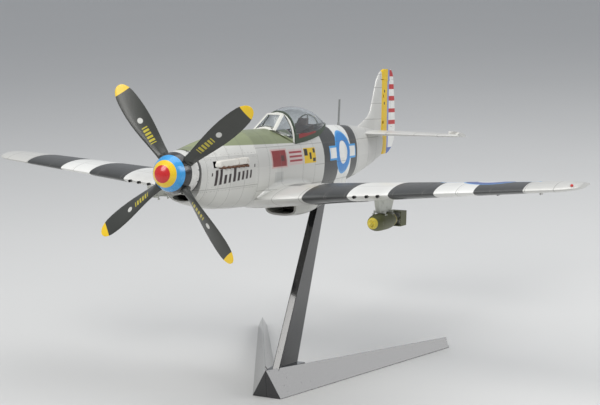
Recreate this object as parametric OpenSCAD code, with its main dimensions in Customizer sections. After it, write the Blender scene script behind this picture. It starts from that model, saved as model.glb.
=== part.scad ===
// Display model of a single-seat, low-wing propeller fighter on a table stand.
// The origin is on the table, on the centre line, under the foot of the stand's upright.
// The nose points to -Y, the port wing to +X, and +Z is up.
// The airframe is drawn in inches of the full-size aircraft, from the spinner's tip:
// X to port, Y aft, Z up from the propeller's axis. airframe() brings it to model size.

/* [Scale and attitude] */
// Full-size length for one unit of model length
scale_ratio = 32; // [30:0.5:34]
// Nose-up attitude on the stand, degrees
nose_up = 7; // [4:0.5:9]

/* [Wing] */
// Half of the wing's span, full-size inches
half_span = 222; // [218:1:226]
// Rise of the wing for each inch of span
dihedral = 0.0848; // [0.07:0.005:0.1]
// Thickness over chord at the root
root_thickness = 0.15; // [0.13:0.005:0.16]
// Thickness over chord at the tip
tip_thickness = 0.115; // [0.1:0.005:0.13]

/* [Propeller] */
// Radius of the propeller, full-size inches
prop_radius = 66.6; // [65.4:0.2:68]
// Angle of the first blade above the port side, degrees
blade_rest = 38.2; // [0:0.1:89]

/* [Shells] */
// Wall of the moulded shells, model millimetres
wall = 1.2; // [1:0.1:1.4]
// Gap between a control surface and its cove, model millimetres
cove_gap = 0.35; // [0.3:0.01:0.4]

/* [Stand] */
// Length of each arm along its middle, millimetres
arm_length = 139; // [130:1:145]
// Angle of each arm from the centre line, degrees
arm_angle = 27.6; // [25:0.1:30]
// Width and height of the arms at the front, millimetres
arm_front = 16; // [14:0.5:18]
// Width and height of the arms at the far tip, millimetres
arm_tip = 6; // [5:0.5:7]

/* [Hidden] */

k = 25.4 / scale_ratio;         // model millimetres for one full-size inch
skin = wall / k;                // wall in full-size inches
gap = cove_gap / k;             // control-surface gap in full-size inches
fit = 0.05 / k;                 // running fit of a shaft or pin, on the radius
foot = [0, 178, -164.6];        // point of the airframe that stands over the origin
eps = 0.01;

// ---------------------------------------------------------------- helpers

function lerp(a, b, t) = a + (b - a) * t;
function clamp01(t) = max(0, min(1, t));
function ease(t) = let(c = clamp01(t)) c * c * (3 - 2 * c);

// Smooth value of a table of rows [place, values...] at a place between its rows
function segment(t, y, i = 0) = (i >= len(t) - 2 || y < t[i + 1][0]) ? i : segment(t, y, i + 1);
function slope(t, i) = let(a = max(0, i - 1), b = min(len(t) - 1, i + 1))
    (t[b] - t[a]) / (t[b][0] - t[a][0]);
function smooth_row(t, y) = let(
    i = segment(t, y),
    h = t[i + 1][0] - t[i][0],
    u = clamp01((y - t[i][0]) / h))
    (2 * u ^ 3 - 3 * u ^ 2 + 1) * t[i] + (u ^ 3 - 2 * u ^ 2 + u) * h * slope(t, i)
    + (3 * u ^ 2 - 2 * u ^ 3) * t[i + 1] + (u ^ 3 - u ^ 2) * h * slope(t, i + 1);

function steps(a, b, n) = [for (i = [0:n]) lerp(a, b, i / n)];
function cosine_steps(n) = [for (i = [0:n]) 1 - cos(90 * i / n)];

// Solid through rings of points. The rings advance along an axis and turn right-handed about it.
module loft(rings) {
    n = len(rings[0]);
    m = len(rings);
    side = [for (j = [0:m - 2]) for (i = [0:n - 1]) let(a = j * n + i, b = j * n + (i + 1) % n)
        each [[a, a + n, b + n], [a, b + n, b]]];
    first = [for (i = [0:n - 1]) i];
    last = [for (i = [n - 1:-1:0]) (m - 1) * n + i];
    polyhedron([for (r = rings) each r], concat(side, [first], [last]), convexity = 6);
}

// A moulded part with compound curves, kept as one fine mesh
module moulded() {
    resize([0, 0, 0]) children();
}

// Brings full-size inches of the airframe to model millimetres on the stand
module airframe() {
    rotate([-nose_up, 0, 0]) scale(k) translate(-foot) children();
}

module along_y() {
    rotate([-90, 0, 0]) children();
}

module both_sides() {
    children();
    mirror([1, 0, 0]) children();
}

// Round rod between two points
module rod(a, b, r, fn = 24) {
    d = b - a;
    translate(a)
        rotate([0, acos(d.z / norm(d)), atan2(d.y, d.x)])
            cylinder(h = norm(d), r = r, $fn = fn);
}

// ---------------------------------------------------------------- fuselage form

// Station, top, bottom, half width, height of the widest point
body_rows = [
    [24.6, 13.9, -18.8, 13.9, -0.5],
    [32, 15.4, -21, 14.4, -1],
    [45, 18.2, -23.6, 15.2, -2],
    [60, 20.8, -25.8, 16, -3],
    [80, 23.2, -27, 16.8, -3],
    [100, 23.9, -27.6, 17.2, -3],
    [125, 24.2, -28, 17.5, -3],
    [175, 24.2, -28, 17.2, -3],
    [205, 24.2, -27, 16.4, -2.5],
    [235, 24.2, -24.6, 14.8, -1.5],
    [260, 24, -21.3, 12.9, 0],
    [285, 23, -18.4, 10.6, 2],
    [310, 21.5, -14.2, 8, 4],
    [335, 19.6, -8.8, 5.2, 6],
    [353, 18, -4.2, 3, 7.5]
];
cowl_front = 32;
cowl_back = 97;
tail_end = 353;
top_power = 2.05;
bottom_power = 2.35;

function power_cos(a, n) = sign(cos(a)) * abs(cos(a)) ^ (2 / n);
function power_sin(a, n) = sign(sin(a)) * abs(sin(a)) ^ (2 / n);
// Point of the body's surface at station y, at angle a from the top towards port
function body_point(y, a, inset = 0) = let(
    r = smooth_row(body_rows, y),
    n = cos(a) >= 0 ? top_power : bottom_power,
    h = cos(a) >= 0 ? r[1] - r[4] : r[4] - r[2])
    [(r[3] - inset) * power_sin(a, n), y, r[4] + (h - inset) * power_cos(a, n)];
function body_ring(y, inset = 0, n = 32) = [for (i = [0:n - 1]) body_point(y, 360 * i / n, inset)];
function body_half_ring(y, n = 16) = [for (i = [0:n]) body_point(y, 180 * i / n)];

body_stations = concat(steps(24.6, cowl_front, 1), [45, 60, 78], [cowl_back, 110, 125],
    steps(145, tail_end, 13));

module body_solid(y0, y1, inset = 0) {
    loft([for (y = concat([y0], [for (s = body_stations) if (s > y0 + 1 && s < y1 - 1) s], [y1]))
        body_ring(y, inset)]);
}

module body_half(y0, y1) {
    loft([for (y = concat([y0], [for (s = body_stations) if (s > y0 + 1 && s < y1 - 1) s], [y1]))
        body_half_ring(y)]);
}

// ---------------------------------------------------------------- wing form

kink = 62;                  // span station where the root's leading edge sweeps forward
control_start = 21;         // inboard end of the flap
aileron_start = 117;
aileron_end = 206;
rib = 1.4;                  // wing rib between the flap's bay and the aileron's
tip_start = 208;            // the rounded tip begins here
hinge_at = 0.775;           // hinge line of the flaps and ailerons, over chord
chord_steps = cosine_steps(12);

function straight_le(x) = 110.5 + 0.0625 * x;
function straight_te(x) = 214.5 - 0.1884 * x;
function tip_pull(x) = let(t = clamp01((x - tip_start) / (half_span - tip_start)))
    1 - sqrt(max(0, 1 - t ^ 2.4));
function wing_le(x) = straight_le(x) - 10.5 * ease((kink - x) / 44) + 17 * tip_pull(x);
function wing_te(x) = straight_te(x) - 12 * tip_pull(x);
function wing_z(x) = -23.5 + dihedral * x;
function twist(x) = 1 - 1.85 * x / 215;
function wing_ratio(x) = lerp(root_thickness, tip_thickness, x / 215);
function section_half(s) = let(w = s ^ 1.24)
    5 * (0.2969 * sqrt(w) - 0.126 * w - 0.3516 * w ^ 2 + 0.2843 * w ^ 3 - 0.1036 * w ^ 4);
function camber(s) = 0.05 * s * (1 - s);
function wing_chord(x) = wing_te(x) - wing_le(x);
function wing_half(x, s) = let(c = straight_te(x) - straight_le(x))
    wing_ratio(x) * c * (1 - 0.55 * tip_pull(x)) * section_half(s) + 0.2 * s;
// Point at span x, chord fraction s, height h above the middle surface
function wing_point(x, s, h) = let(
    y = wing_le(x) + s * wing_chord(x),
    d = y - straight_le(x),
    c = straight_te(x) - straight_le(x))
    [x, y, wing_z(x) + camber(clamp01(d / c)) * c - d * tan(twist(x)) + h];

// Ring of the upper (dir 1) or lower (dir -1) half of the section, closed along the middle
function half_section(x, dir) = let(
    n = len(chord_steps) - 1,
    outer = [for (i = [n:-1:0]) wing_point(x, chord_steps[i], dir * wing_half(x, chord_steps[i]))],
    middle = [for (i = [1:n]) wing_point(x, chord_steps[i], 0)],
    ring = concat(outer, middle))
    dir > 0 ? ring : [for (i = [len(ring) - 1:-1:0]) ring[i]];
function full_section(x, extra = 0) = let(n = len(chord_steps) - 1) concat(
    [for (i = [n:-1:0]) wing_point(x, chord_steps[i], wing_half(x, chord_steps[i]) + extra)],
    [for (i = [1:n]) wing_point(x, chord_steps[i], -wing_half(x, chord_steps[i]) - extra)]);
// Ring of the hollow inside a half, which runs past the middle surface
function hollow_section(x, dir) = let(
    ss = [0.1, 0.2, 0.32, 0.45, 0.56, 0.66],
    outer = [for (i = [5:-1:0]) wing_point(x, ss[i], dir * (wing_half(x, ss[i]) - skin))],
    middle = [for (i = [0:5]) wing_point(x, ss[i], -dir * 0.6)],
    ring = concat(outer, middle))
    dir > 0 ? ring : [for (i = [len(ring) - 1:-1:0]) ring[i]];

wing_stations = concat([0, 18, 29, 40, 51], [kink, 117, 170, tip_start],
    [for (t = [0.35, 0.6, 0.8, 0.92, 0.985, 1]) lerp(tip_start, half_span, t)]);

// Hinge line, its radius, and the points of a control surface's section
function hinge_s(x) = let(y = lerp(straight_le(x), straight_te(x), hinge_at))
    (y - wing_le(x)) / wing_chord(x);
function hinge_point(x) = wing_point(x, hinge_s(x), 0);
function nose_radius(x) = wing_half(x, hinge_s(x)) * 0.985;
function control_section(x) = concat(
    [for (s = [1, 0.94, 0.88, 0.82]) wing_point(x, s, wing_half(x, s))],
    [for (a = [90:22.5:270]) hinge_point(x) + nose_radius(x) * [0, cos(a), sin(a)]],
    [for (s = [0.82, 0.88, 0.94, 1]) wing_point(x, s, -wing_half(x, s))]);
// Bay that a control surface swings in: a round cove open to the rear
function bay_section(x) = let(h = hinge_point(x), r = nose_radius(x) + gap) concat(
    [h + [0, 60, 9]], [h + [0, 0, 9]],
    [for (a = [90:15:270]) h + r * [0, cos(a), sin(a)]],
    [h + [0, 0, -9]], [h + [0, 60, -9]]);
module control_bay(xs) {
    loft([for (x = xs) bay_section(x)]);
}
flap_stations = [control_start, 30, 42, kink, aileron_start - rib];
aileron_stations = [aileron_start, 160, aileron_end];

module wing_half_solid(dir, from) {
    xs = concat([from], [for (x = wing_stations) if (x > from + 1) x]);
    difference() {
        loft([for (x = xs) half_section(x, dir)]);
        loft([for (x = concat([max(from, 0) - eps], [18, 40, kink, 117, 170], [204]))
            if (x > from - 1) hollow_section(x, dir)]);
        control_bay(flap_stations);
        control_bay(aileron_stations);
    }
}

// The whole wing's volume near the body, which the body's shells are cut to
module wing_volume(x1 = 40) {
    both_sides() loft([for (x = [-eps, 18, 29, x1]) full_section(x)]);
}

module wing_upper() {
    color("silver") moulded() wing_half_solid(1, 9);
}

module wing_upper_left() airframe() wing_upper();
module wing_upper_right() airframe() mirror([1, 0, 0]) wing_upper();

module wing_lower() airframe() color("silver") moulded() both_sides() wing_half_solid(-1, 0);

// A flap or aileron: its bay's stations, drawn in by a gap at both ends and bored for its pins
module control_surface(xs, root_gap = gap) {
    last = len(xs) - 1;
    color("silver") moulded() difference() {
        loft([for (i = [0:last]) control_section(xs[i] + (i == 0 ? root_gap : i == last ? -gap : 0))]);
        hinge_pin(xs[0], pin_r + 0.1 / k, 24);
        hinge_pin(xs[last], pin_r + 0.1 / k, 24);
    }
}
flap_root_gap = gap + 0.15 / k;     // wider, because a flap's root end swings inboard as it drops
module flap() {
    control_surface(flap_stations, flap_root_gap);
}
module aileron() {
    control_surface(aileron_stations);
}
pin_r = 0.5;
pin_reach = 1.2;            // how far a pin goes into the rib on each side of the joint
module hinge_pin(x, r, fn) {
    rod(hinge_point(x - pin_reach), hinge_point(x + pin_reach), r, fn);
}
module flap_left() airframe() flap();
module flap_right() airframe() mirror([1, 0, 0]) flap();
module aileron_left() airframe() aileron();
module aileron_right() airframe() mirror([1, 0, 0]) aileron();

// ---------------------------------------------------------------- tail form

stab_half = 76;
stab_z = 16.2;
stab_hinge = 347;           // elevator hinge station, straight across
fin_hinge = 355.5;          // rudder hinge station at the body
tail_steps = cosine_steps(8);

function stab_le(x) = 306 + 0.235 * x + 13 * (1 - sqrt(1 - clamp01((x - 64) / 12.3) ^ 2));
function stab_te(x) = stab_hinge + lerp(17, 10, x / stab_half)
    - 6 * (1 - sqrt(1 - clamp01((x - 68) / 8.3) ^ 2));
function lens_half(s) = section_half(s ^ 0.85);
function stab_thick(x) = lerp(4.3, 2.4, x / stab_half);
function stab_half_at(x, s) = stab_thick(x) * lens_half(s) + 0.25 * s;
function stab_nose(x) = stab_half_at(x, stab_hinge_s(x)) * 0.98;
function stab_hinge_s(x) = (stab_hinge - stab_le(x)) / (stab_te(x) - stab_le(x));
function stab_point(x, s, h) = [x, lerp(stab_le(x), stab_te(x), s), stab_z + h];
function stab_section(x) = let(n = len(tail_steps) - 1) concat(
    [for (i = [n:-1:0]) stab_point(x, tail_steps[i], stab_half_at(x, tail_steps[i]))],
    [for (i = [1:n]) stab_point(x, tail_steps[i], -stab_half_at(x, tail_steps[i]))]);

elevator_in = 6.5;
elevator_out = 67;          // the elevator's horn starts here

module stab_bay(x0, x1) {
    z = 8;
    loft([for (x = [x0, x1]) let(r = stab_nose(x) + gap) concat(
        [[x, stab_hinge + 40, stab_z + z]], [[x, stab_hinge, stab_z + z]],
        [for (a = [90:15:270]) [x, stab_hinge + r * cos(a), stab_z + r * sin(a)]],
        [[x, stab_hinge, stab_z - z]], [[x, stab_hinge + 40, stab_z - z]])]);
}

module tailplane() airframe() color("silver") moulded() difference() {
    both_sides() difference() {
        loft([for (x = [0, 20, 45, 64, 70, 73.5, 75.5, 76.2]) stab_section(x)]);
        stab_bay(0, elevator_out + 0.5);
        translate([elevator_out - gap, 334 - gap, 0]) cube([20, 60, 40]);
    }
    body_solid(290, tail_end);
    translate([-1.7, 300, 0]) cube([3.4, 80, 60]);
}

elevator_droop = 9;
module elevator_form() {
    loft([for (x = [elevator_in, 35, elevator_out + gap]) concat(
        [for (s = [1, 0.6, 0.25]) let(y = lerp(stab_hinge, stab_te(x), s))
            [x, y, stab_z + lerp(stab_nose(x), 0.25, s)]],
        [for (a = [90:22.5:270])
            [x, stab_hinge + stab_nose(x) * cos(a), stab_z + stab_nose(x) * sin(a)]],
        [for (s = [0.25, 0.6, 1]) let(y = lerp(stab_hinge, stab_te(x), s))
            [x, y, stab_z - lerp(stab_nose(x), 0.25, s)]])]);
    intersection() {
        loft([for (x = [64, 70, 73.5, 75.5, 76.2]) stab_section(x)]);
        translate([elevator_out + 0.1, 334, 0]) cube([20, 60, 40]);
    }
}
module elevator() {
    color("silver") moulded() difference() {
        translate([0, stab_hinge, stab_z]) rotate([-elevator_droop, 0, 0])
            translate([0, -stab_hinge, -stab_z]) elevator_form();
        elevator_tube(pin_r + 0.1 / k, 24);
    }
}
// Tube across the body that both elevators turn on
module elevator_tube(r, fn) {
    rod([-elevator_in - 3, stab_hinge, stab_z], [elevator_in + 3, stab_hinge, stab_z], r, fn);
}
module elevator_left() airframe() elevator();
module elevator_right() airframe() mirror([1, 0, 0]) elevator();

fin_top = 68.5;
fin_steps = cosine_steps(8);
rudder_foot = -2.6;

function fin_le(z) = z < 34
    ? lerp(330, 290, ease((34 - z) / 20))
    : 330 + 0.44 * (z - 34) + 16 * (1 - sqrt(1 - clamp01((z - 58) / 11) ^ 2));
function rudder_te(z) = 387 - 7.5 * ease((z - 22) / 50) - 9 * (1 - sqrt(1 - clamp01((z - 59) / 10) ^ 2))
    - 26 * (1 - sqrt(1 - clamp01((16 - z) / 19.5) ^ 2.2));
function fin_half(z, s) = lerp(4.6, 2.7, clamp01(z / fin_top)) * lens_half(s) + 0.25 * s;
function rudder_r(z) = lerp(2.3, 1.4, clamp01(z / 60));
function fin_point(z, s, h) = [h, lerp(fin_le(z), rudder_te(z), s), z];
function fin_section(z) = let(n = len(fin_steps) - 1) concat(
    [for (i = [n:-1:0]) fin_point(z, fin_steps[i], -fin_half(z, fin_steps[i]))],
    [for (i = [1:n]) fin_point(z, fin_steps[i], fin_half(z, fin_steps[i]))]);
horn_z = 59.5;
horn_front = 349;

module rudder_bay() {
    translate([0, fin_hinge, 0])
        cylinder(h = horn_z, r1 = rudder_r(0) + gap, r2 = rudder_r(horn_z) + gap, $fn = 32);
    translate([-20, fin_hinge, -30]) cube([40, 60, 30 + horn_z]);
    translate([-20, horn_front - gap, horn_z - 0.1]) cube([40, 60, 20]);
}

module fin() airframe() color("silver") moulded() difference() {
    loft([for (z = [10, 16, 20, 24, 29, 34, 45, 58, 62, 65.5, 67.6, fin_top]) fin_section(z)]);
    rudder_bay();
    body_solid(270, tail_end);
}

// Rudder section: flat-sided below the horn, where a round nose leads it, and full above
function rudder_section(z) = let(
    low = z < horn_z,
    front = low ? fin_hinge : max(fin_le(z), horn_front),
    ss = [0, 0.08, 0.2, 0.4, 0.65, 0.85, 1],
    half = function(s) low ? lerp(rudder_r(z) * 0.98, 0.25, s)
        : fin_half(z, (lerp(front, rudder_te(z), s) - fin_le(z)) / (rudder_te(z) - fin_le(z))) + 0.02)
    concat([for (i = [6:-1:0]) [-half(ss[i]), lerp(front, rudder_te(z), ss[i]), z]],
        [for (i = [0:6]) [half(ss[i]) + eps, lerp(front, rudder_te(z), ss[i]), z]]);
rudder_levels = [rudder_foot, -1, 3, 8, 14, 22, 34, 48, horn_z - eps];

// Two brackets on the fin carry the rudder's pins, in notches of the rudder's nose
bracket_levels = [24, 46];
bracket_half = 0.8;
module rudder_brackets() {
    for (z = bracket_levels) {
        translate([-0.5, 350, z - bracket_half]) cube([1, 5.5, 2 * bracket_half]);
        translate([0, fin_hinge, z]) cylinder(h = 2 * bracket_half, r = 0.9, center = true, $fn = 32);
        translate([0, fin_hinge, z]) cylinder(h = 5.4, r = pin_r, center = true, $fn = 24);
    }
}

module rudder() airframe() color("silver") moulded() difference() {
    union() {
        loft([for (z = rudder_levels) rudder_section(z)]);
        loft([for (z = [horn_z + gap, 62, 65.5, 67.6, fin_top]) rudder_section(z)]);
        translate([-1.3, fin_hinge, horn_z - 1]) cube([2.6, 18, 2]);
        translate([0, fin_hinge, 0])
            cylinder(h = horn_z - gap, r1 = rudder_r(0), r2 = rudder_r(horn_z), $fn = 32);
        translate([0, fin_hinge, rudder_foot]) cylinder(h = -rudder_foot, r = rudder_r(0), $fn = 32);
    }
    for (z = bracket_levels) {
        translate([-4, fin_hinge - 8.5, z - bracket_half - gap])
            cube([8, 10, 2 * (bracket_half + gap)]);
        translate([0, fin_hinge, z]) cylinder(h = 7, r = pin_r + 0.1 / k, center = true, $fn = 24);
    }
}

// ---------------------------------------------------------------- body shells

cockpit_front = 160;
cockpit_back = 206;
sill = 13.8;
deck = 19.2;

// Opening under the canopy: deep over the seat, shallow over the radio deck
module cockpit_cut() {
    deck_opening(steps(cockpit_front, cockpit_back, 3), sill);
    deck_opening(steps(cockpit_back - 1, 228, 3), deck);
}
module deck_opening(ys, z) {
    loft([for (y = ys) let(w = smooth_row(canopy_rows, y)[2] - 2.4)
        [[-w, y, 45], [w, y, 45], [w, y, z], [-w, y, z]]]);
}

module body_shell() {
    color("silver") moulded() difference() {
        body_half(cowl_back, tail_end);
        difference() {
            body_solid(cowl_back - 1, tail_end - 4, skin);
            translate([-30, tail_end - 12, -40]) cube([60, 20, 80]);
        }
        cockpit_cut();
        wing_volume();
    }
}
module fuselage_left() airframe() body_shell();
module fuselage_right() airframe() mirror([1, 0, 0]) body_shell();

module nose_ring() airframe() color("silver") moulded() difference() {
    body_solid(25.6, cowl_front);
    translate([0, 20, 0]) along_y() cylinder(h = 20, r = 11.6, $fn = 40);
    intake_duct();
}
// The carburettor's intake under the spinner
module intake_duct() {
    translate([0, 20, -16.1]) scale([3.3, 1, 1]) along_y() cylinder(h = 40, r = 2, $fn = 32);
}

// The engine covers: one shell, parted by these heights
cowl_line = 9;
chin_line = -11;
module cowl_shell(y0 = cowl_front, y1 = cowl_back) {
    difference() {
        body_solid(y0, y1);
        body_solid(y0 - 1, y1 + 1, skin);
        translate([12, 40, 2.2]) cube([10, 42.5, 4.2]);
        translate([-22, 40, 2.2]) cube([10, 42.5, 4.2]);
    }
}
module cowl_top() airframe() color("darkolivegreen") moulded() intersection() {
    cowl_shell();
    translate([-30, 0, cowl_line]) cube([60, 120, 40]);
}
module cowl_side() {
    color("silver") moulded() intersection() {
        cowl_shell();
        translate([0, 0, chin_line]) cube([30, 120, cowl_line - chin_line]);
    }
}
module cowl_left() airframe() cowl_side();
module cowl_right() airframe() mirror([1, 0, 0]) cowl_side();
module cowl_bottom() airframe() color("silver") moulded() difference() {
    intersection() {
        cowl_shell();
        translate([-30, 0, chin_line - 60]) cube([60, 120, 60]);
    }
    wing_volume();
    intake_duct();
}

// Corners of a shroud's outer box, from its pointed front to its square rear
shroud_corners = [
    [13, 41, 3.4], [13, 44.5, 2.9], [13, 44.5, 6], [15.9, 46, 3.1], [15.6, 46.5, 5.8],
    [14, 80.5, 4], [14, 80.5, 7], [17.9, 80.5, 4.2], [17.4, 80.5, 6.9]
];
module exhaust_shroud() {
    hull() {
        for (p = shroud_corners) translate(p) sphere(r = 0.7, $fn = 16);
    }
}
module exhaust_shrouds() airframe() color("dimgray") moulded() both_sides() difference() {
    exhaust_shroud();
    body_solid(cowl_front, cowl_back, 0.02);
}

stub_count = 6;
stub_pitch = 6.1;
module exhaust_stubs() airframe() color("saddlebrown") both_sides() for (i = [0:stub_count - 1]) {
    translate([14.2 + 0.1 * i, 46.4 + i * stub_pitch, 2.6])
        rotate([0, 90, 34]) difference() {
            cylinder(h = 5.2, r = 1.25, $fn = 24);
            translate([0, 0, 2]) cylinder(h = 4, r = 0.85, $fn = 24);
        }
}

module engine_block() airframe() color("gray") {
    translate([-5.5, 38, -12]) cube([11, 52, 16]);
    for (side = [-1, 1]) {
        translate([side * 5, 42, 2]) rotate([0, side * 30, 0])
            translate([-3, 0, 0]) cube([6, 44, 7]);
    }
}
module firewall() airframe() color("darkgray") moulded() difference() {
    body_solid(cowl_back - 4, cowl_back - 2.4, skin + 0.1);
    wing_volume();
}

shaft_r = 2.2;
module shaft_bush() airframe() color("tan") difference() {
    translate([0, 32.8, 0]) along_y() cylinder(h = 5.2, r = 5, $fn = 48);
    translate([0, 32, 0]) along_y() cylinder(h = 7, r = shaft_r + fit, $fn = 48);
}

// ---------------------------------------------------------------- scoop and radiator

// Station, top, bottom, half width of the belly scoop
scoop_rows = [
    [166, -29.6, -38.9, 12.2],
    [182, -27, -40, 12.8],
    [200, -22, -39.4, 12.6],
    [222, -18, -36.2, 11.8],
    [245, -14, -30.6, 10.6],
    [262, -14, -25.8, 9.4]
];
function scoop_ring(y, inset = 0) = let(
    r = smooth_row(scoop_rows, y), w = r[3] - inset, b = r[2] + inset, t = r[1] - inset,
    shoulder = lerp(t, b, 0.42))
    concat([[-w, y, t]], [[w, y, t]],
        [for (a = [0:15:180])
            [w * power_cos(a, 2.6), y, shoulder + (b - shoulder) * power_sin(a, 2.6)]]);
scoop_stations = [166, 172, 182, 192, 202, 212, 222, 233, 245, 262];

module scoop() airframe() color("silver") moulded() difference() {
    loft([for (y = scoop_stations) scoop_ring(y)]);
    loft([for (y = concat([165], [172, 182, 192, 202, 212, 222, 233, 245], [263]))
        scoop_ring(y, skin)]);
    body_solid(120, 280);
    wing_volume();
    translate([-9, 248, -40]) cube([18, 40, 13]);
    upright_slot(0.08);
}
module radiator_core() airframe() color("dimgray")
    translate([-8, 186, -36.4]) cube([16, 9, 5]);
module scoop_exit_door() airframe() color("silver")
    translate([-8.4, 248.4, -30]) rotate([10, 0, 0]) cube([16.8, 12, 0.9]);

// ---------------------------------------------------------------- cockpit

module cockpit_tub() airframe() color("darkolivegreen") difference() {
    translate([-12, cockpit_front - 4, -8.5]) cube([24, 50, 21.5]);
    translate([-10.4, cockpit_front - 2.4, -7]) cube([20.8, 46.8, 30]);
}
module seat() airframe() color("olive") {
    difference() {
        translate([-7, 181, -7]) cube([14, 14, 7.5]);
        translate([-5.8, 180, -2.6]) cube([11.6, 12.4, 6]);
    }
    translate([-6.6, 194, -6.4]) rotate([-8, 0, 0]) cube([13.2, 1.6, 24]);
}
module instrument_panel() airframe() color("black") {
    translate([-10.2, 159, 4]) cube([20.4, 1.2, 12]);
}
module headrest_armour() airframe() color("olive") {
    translate([-7.4, 200.4, 8]) rotate([-4, 0, 0]) cube([14.8, 1.4, 18]);
    translate([-3.4, 198.6, 25]) cube([6.8, 3.4, 5.2]);
}
module radio_set() airframe() color("black") {
    translate([-7, 206.6, deck - 3]) cube([14, 8, 7.5]);
    translate([-4, 216, deck - 3]) cube([8, 7, 5.6]);
}

// ---------------------------------------------------------------- glazing

glass = 1.0;                 // wall of the clear parts, full-size inches
bow = 157.5;                   // station of the windscreen's rear bow
canopy_front = bow + 0.8;
canopy_end = 236;
// Station, height of the crown, half width at the sill, height of the sill
canopy_rows = [
    [157.5, 35.4, 14.3, 14.4],
    [168, 38.2, 14.3, 15.2],
    [180, 39, 13.9, 16.2],
    [195, 38, 12.6, 17.8],
    [209, 35.2, 10.6, 19.6],
    [220, 31.6, 8, 21.8],
    [229, 28.2, 5.2, 23.6],
    [236, 26.2, 2.4, 24.9]
];
function canopy_ring(y, inset = 0, drop = 0) = let(r = smooth_row(canopy_rows, y))
    concat([for (a = [-90:10:90])
        [(r[2] - inset) * power_sin(a, 2.25), y, r[3] + (r[1] - r[3] - inset) * power_cos(a, 2.05)]],
        drop > 0 ? [[r[2] - inset, y, r[3] - drop], [-(r[2] - inset), y, r[3] - drop]] : []);
canopy_stations = [canopy_front, 163, 170, 178, 186, 194, 202, 209, 216, 223, 229, canopy_end];

module canopy_form(inset, drop, y0 = canopy_front, y1 = canopy_end) {
    loft([for (y = concat([y0], [for (s = canopy_stations) if (s > y0 + 1 && s < y1 - 1) s], [y1]))
        canopy_ring(y, inset, drop)]);
}
function frame_height(y) = lerp(5.6, 1.2, clamp01((y - canopy_front) / (canopy_end - canopy_front)));

module canopy_rail_zone() {
    difference() {
        translate([-30, 100, 0]) cube([60, 160, 60]);
        loft([for (y = [100, canopy_front, 180, 195, 209, 220, 229, canopy_end, 280])
            let(z = smooth_row(canopy_rows, y)[3] + frame_height(y))
            [[-40, y, 80], [40, y, 80], [40, y, z], [-40, y, z]]]);
    }
}
module canopy_glass() airframe() color("lightblue", 0.4) moulded() difference() {
    canopy_form(0, 0, canopy_front + 1.8, canopy_end - 1.4);
    canopy_form(glass, 3, canopy_front, canopy_end);
    canopy_rail_zone();
}
module canopy_frame() airframe() color("darkolivegreen") moulded() difference() {
    canopy_form(-0.15, 1.2);
    difference() {
        canopy_form(glass, 4, canopy_front - 1, canopy_end + 1);
        translate([-20, canopy_end - 1.2, 0]) cube([40, 5, 60]);
    }
    difference() {
        canopy_form(2, 0, canopy_front + 1.8, canopy_end - 1.4);
        canopy_rail_zone();
    }
    difference() {
        translate([-30, canopy_front + 1.8, 10]) cube([60, canopy_end - canopy_front - 3.2, 40]);
        canopy_rail_zone();
    }
    canopy_sweep();
}
// Room for the body's deck over the canopy's whole travel
module canopy_sweep() {
    body_solid(120, 300, -0.45);
}

// Windscreen: a flat front pane between curved quarter panes
screen_points = [
    [8.2, 136.3, 23.4], [6, 153.4, 34.2], [11.8, 146, 18.6], [14, bow, 14]
];
module screen_form(inset = 0) {
    hull() {
        both_sides() {
            for (p = screen_points)
                translate(p - [p.x > 1 ? inset : 0, -inset, inset]) cube(0.01);
        }
        loft([for (y = [bow - 0.5, bow]) [for (a = [-90:15:90])
            [(14.2 - inset) * power_sin(a, 2.25), y, 14.4 + (20.9 - inset) * power_cos(a, 2.05)]]]);
    }
}
module screen_shell() {
    difference() {
        screen_form();
        translate([0, 0.6, 0]) screen_form(glass);
        body_solid(100, 200);
        translate([-20, 100, -10]) cube([40, 80, 22.4]);
        translate([-20, bow, 0]) cube([40, 9, 60]);
    }
}
// Space the framework covers: along the pane's edges, the base and the rear bow
module screen_bars() {
    hull() for (p = [screen_points[0], screen_points[1]]) translate(p) sphere(r = 1.5, $fn = 16);
    mirror([1, 0, 0])
        hull() for (p = [screen_points[0], screen_points[1]]) translate(p) sphere(r = 1.5, $fn = 16);
    hull() both_sides() translate(screen_points[1]) sphere(r = 1.4, $fn = 16);
    translate([-20, bow - 2.2, 0]) cube([40, 3, 60]);
    body_solid(100, 200, -1.2);
}
module windscreen_glass() airframe() color("lightblue", 0.4) moulded() difference() {
    screen_shell();
    screen_bars();
}
module windscreen_frame() airframe() color("darkolivegreen") moulded() intersection() {
    screen_shell();
    screen_bars();
}

// ---------------------------------------------------------------- small airframe pieces

module mast() airframe() color("darkolivegreen")
    translate([0, 266, 23.2]) rotate([-3, 0, 0]) cylinder(h = 20.5, r = 0.75, $fn = 16);

gun_places = [78.5, 87, 94.5];
gun_r = 1;
module gun_barrels() airframe() color("dimgray") both_sides() for (x = gun_places)
    translate([x, wing_le(x) - 2.2, wing_z(x) - 0.5]) along_y() difference() {
        cylinder(h = 2.6, r = gun_r, $fn = 24);
        translate([0, 0, -1]) cylinder(h = 2.6, r = gun_r * 0.6, $fn = 24);
    }

// Closed covers of the main wheels and their legs, a thin skin proud of the wing's underside
module door_outlines() {
    polygon([[24, 132], [70, 128], [84, 131], [84, 139], [70, 143], [24, 158]]);
    polygon([[2, 118], [22, 122], [22, 158], [2, 160]]);
}
module gear_doors() airframe() color("silver") moulded() both_sides() intersection() {
    difference() {
        loft([for (x = [0, 18, 40, kink, 117]) full_section(x, 0.32)]);
        loft([for (x = [-1, 18, 40, kink, 118]) full_section(x)]);
    }
    translate([0, 0, -60]) linear_extrude(38) door_outlines();
}

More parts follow.
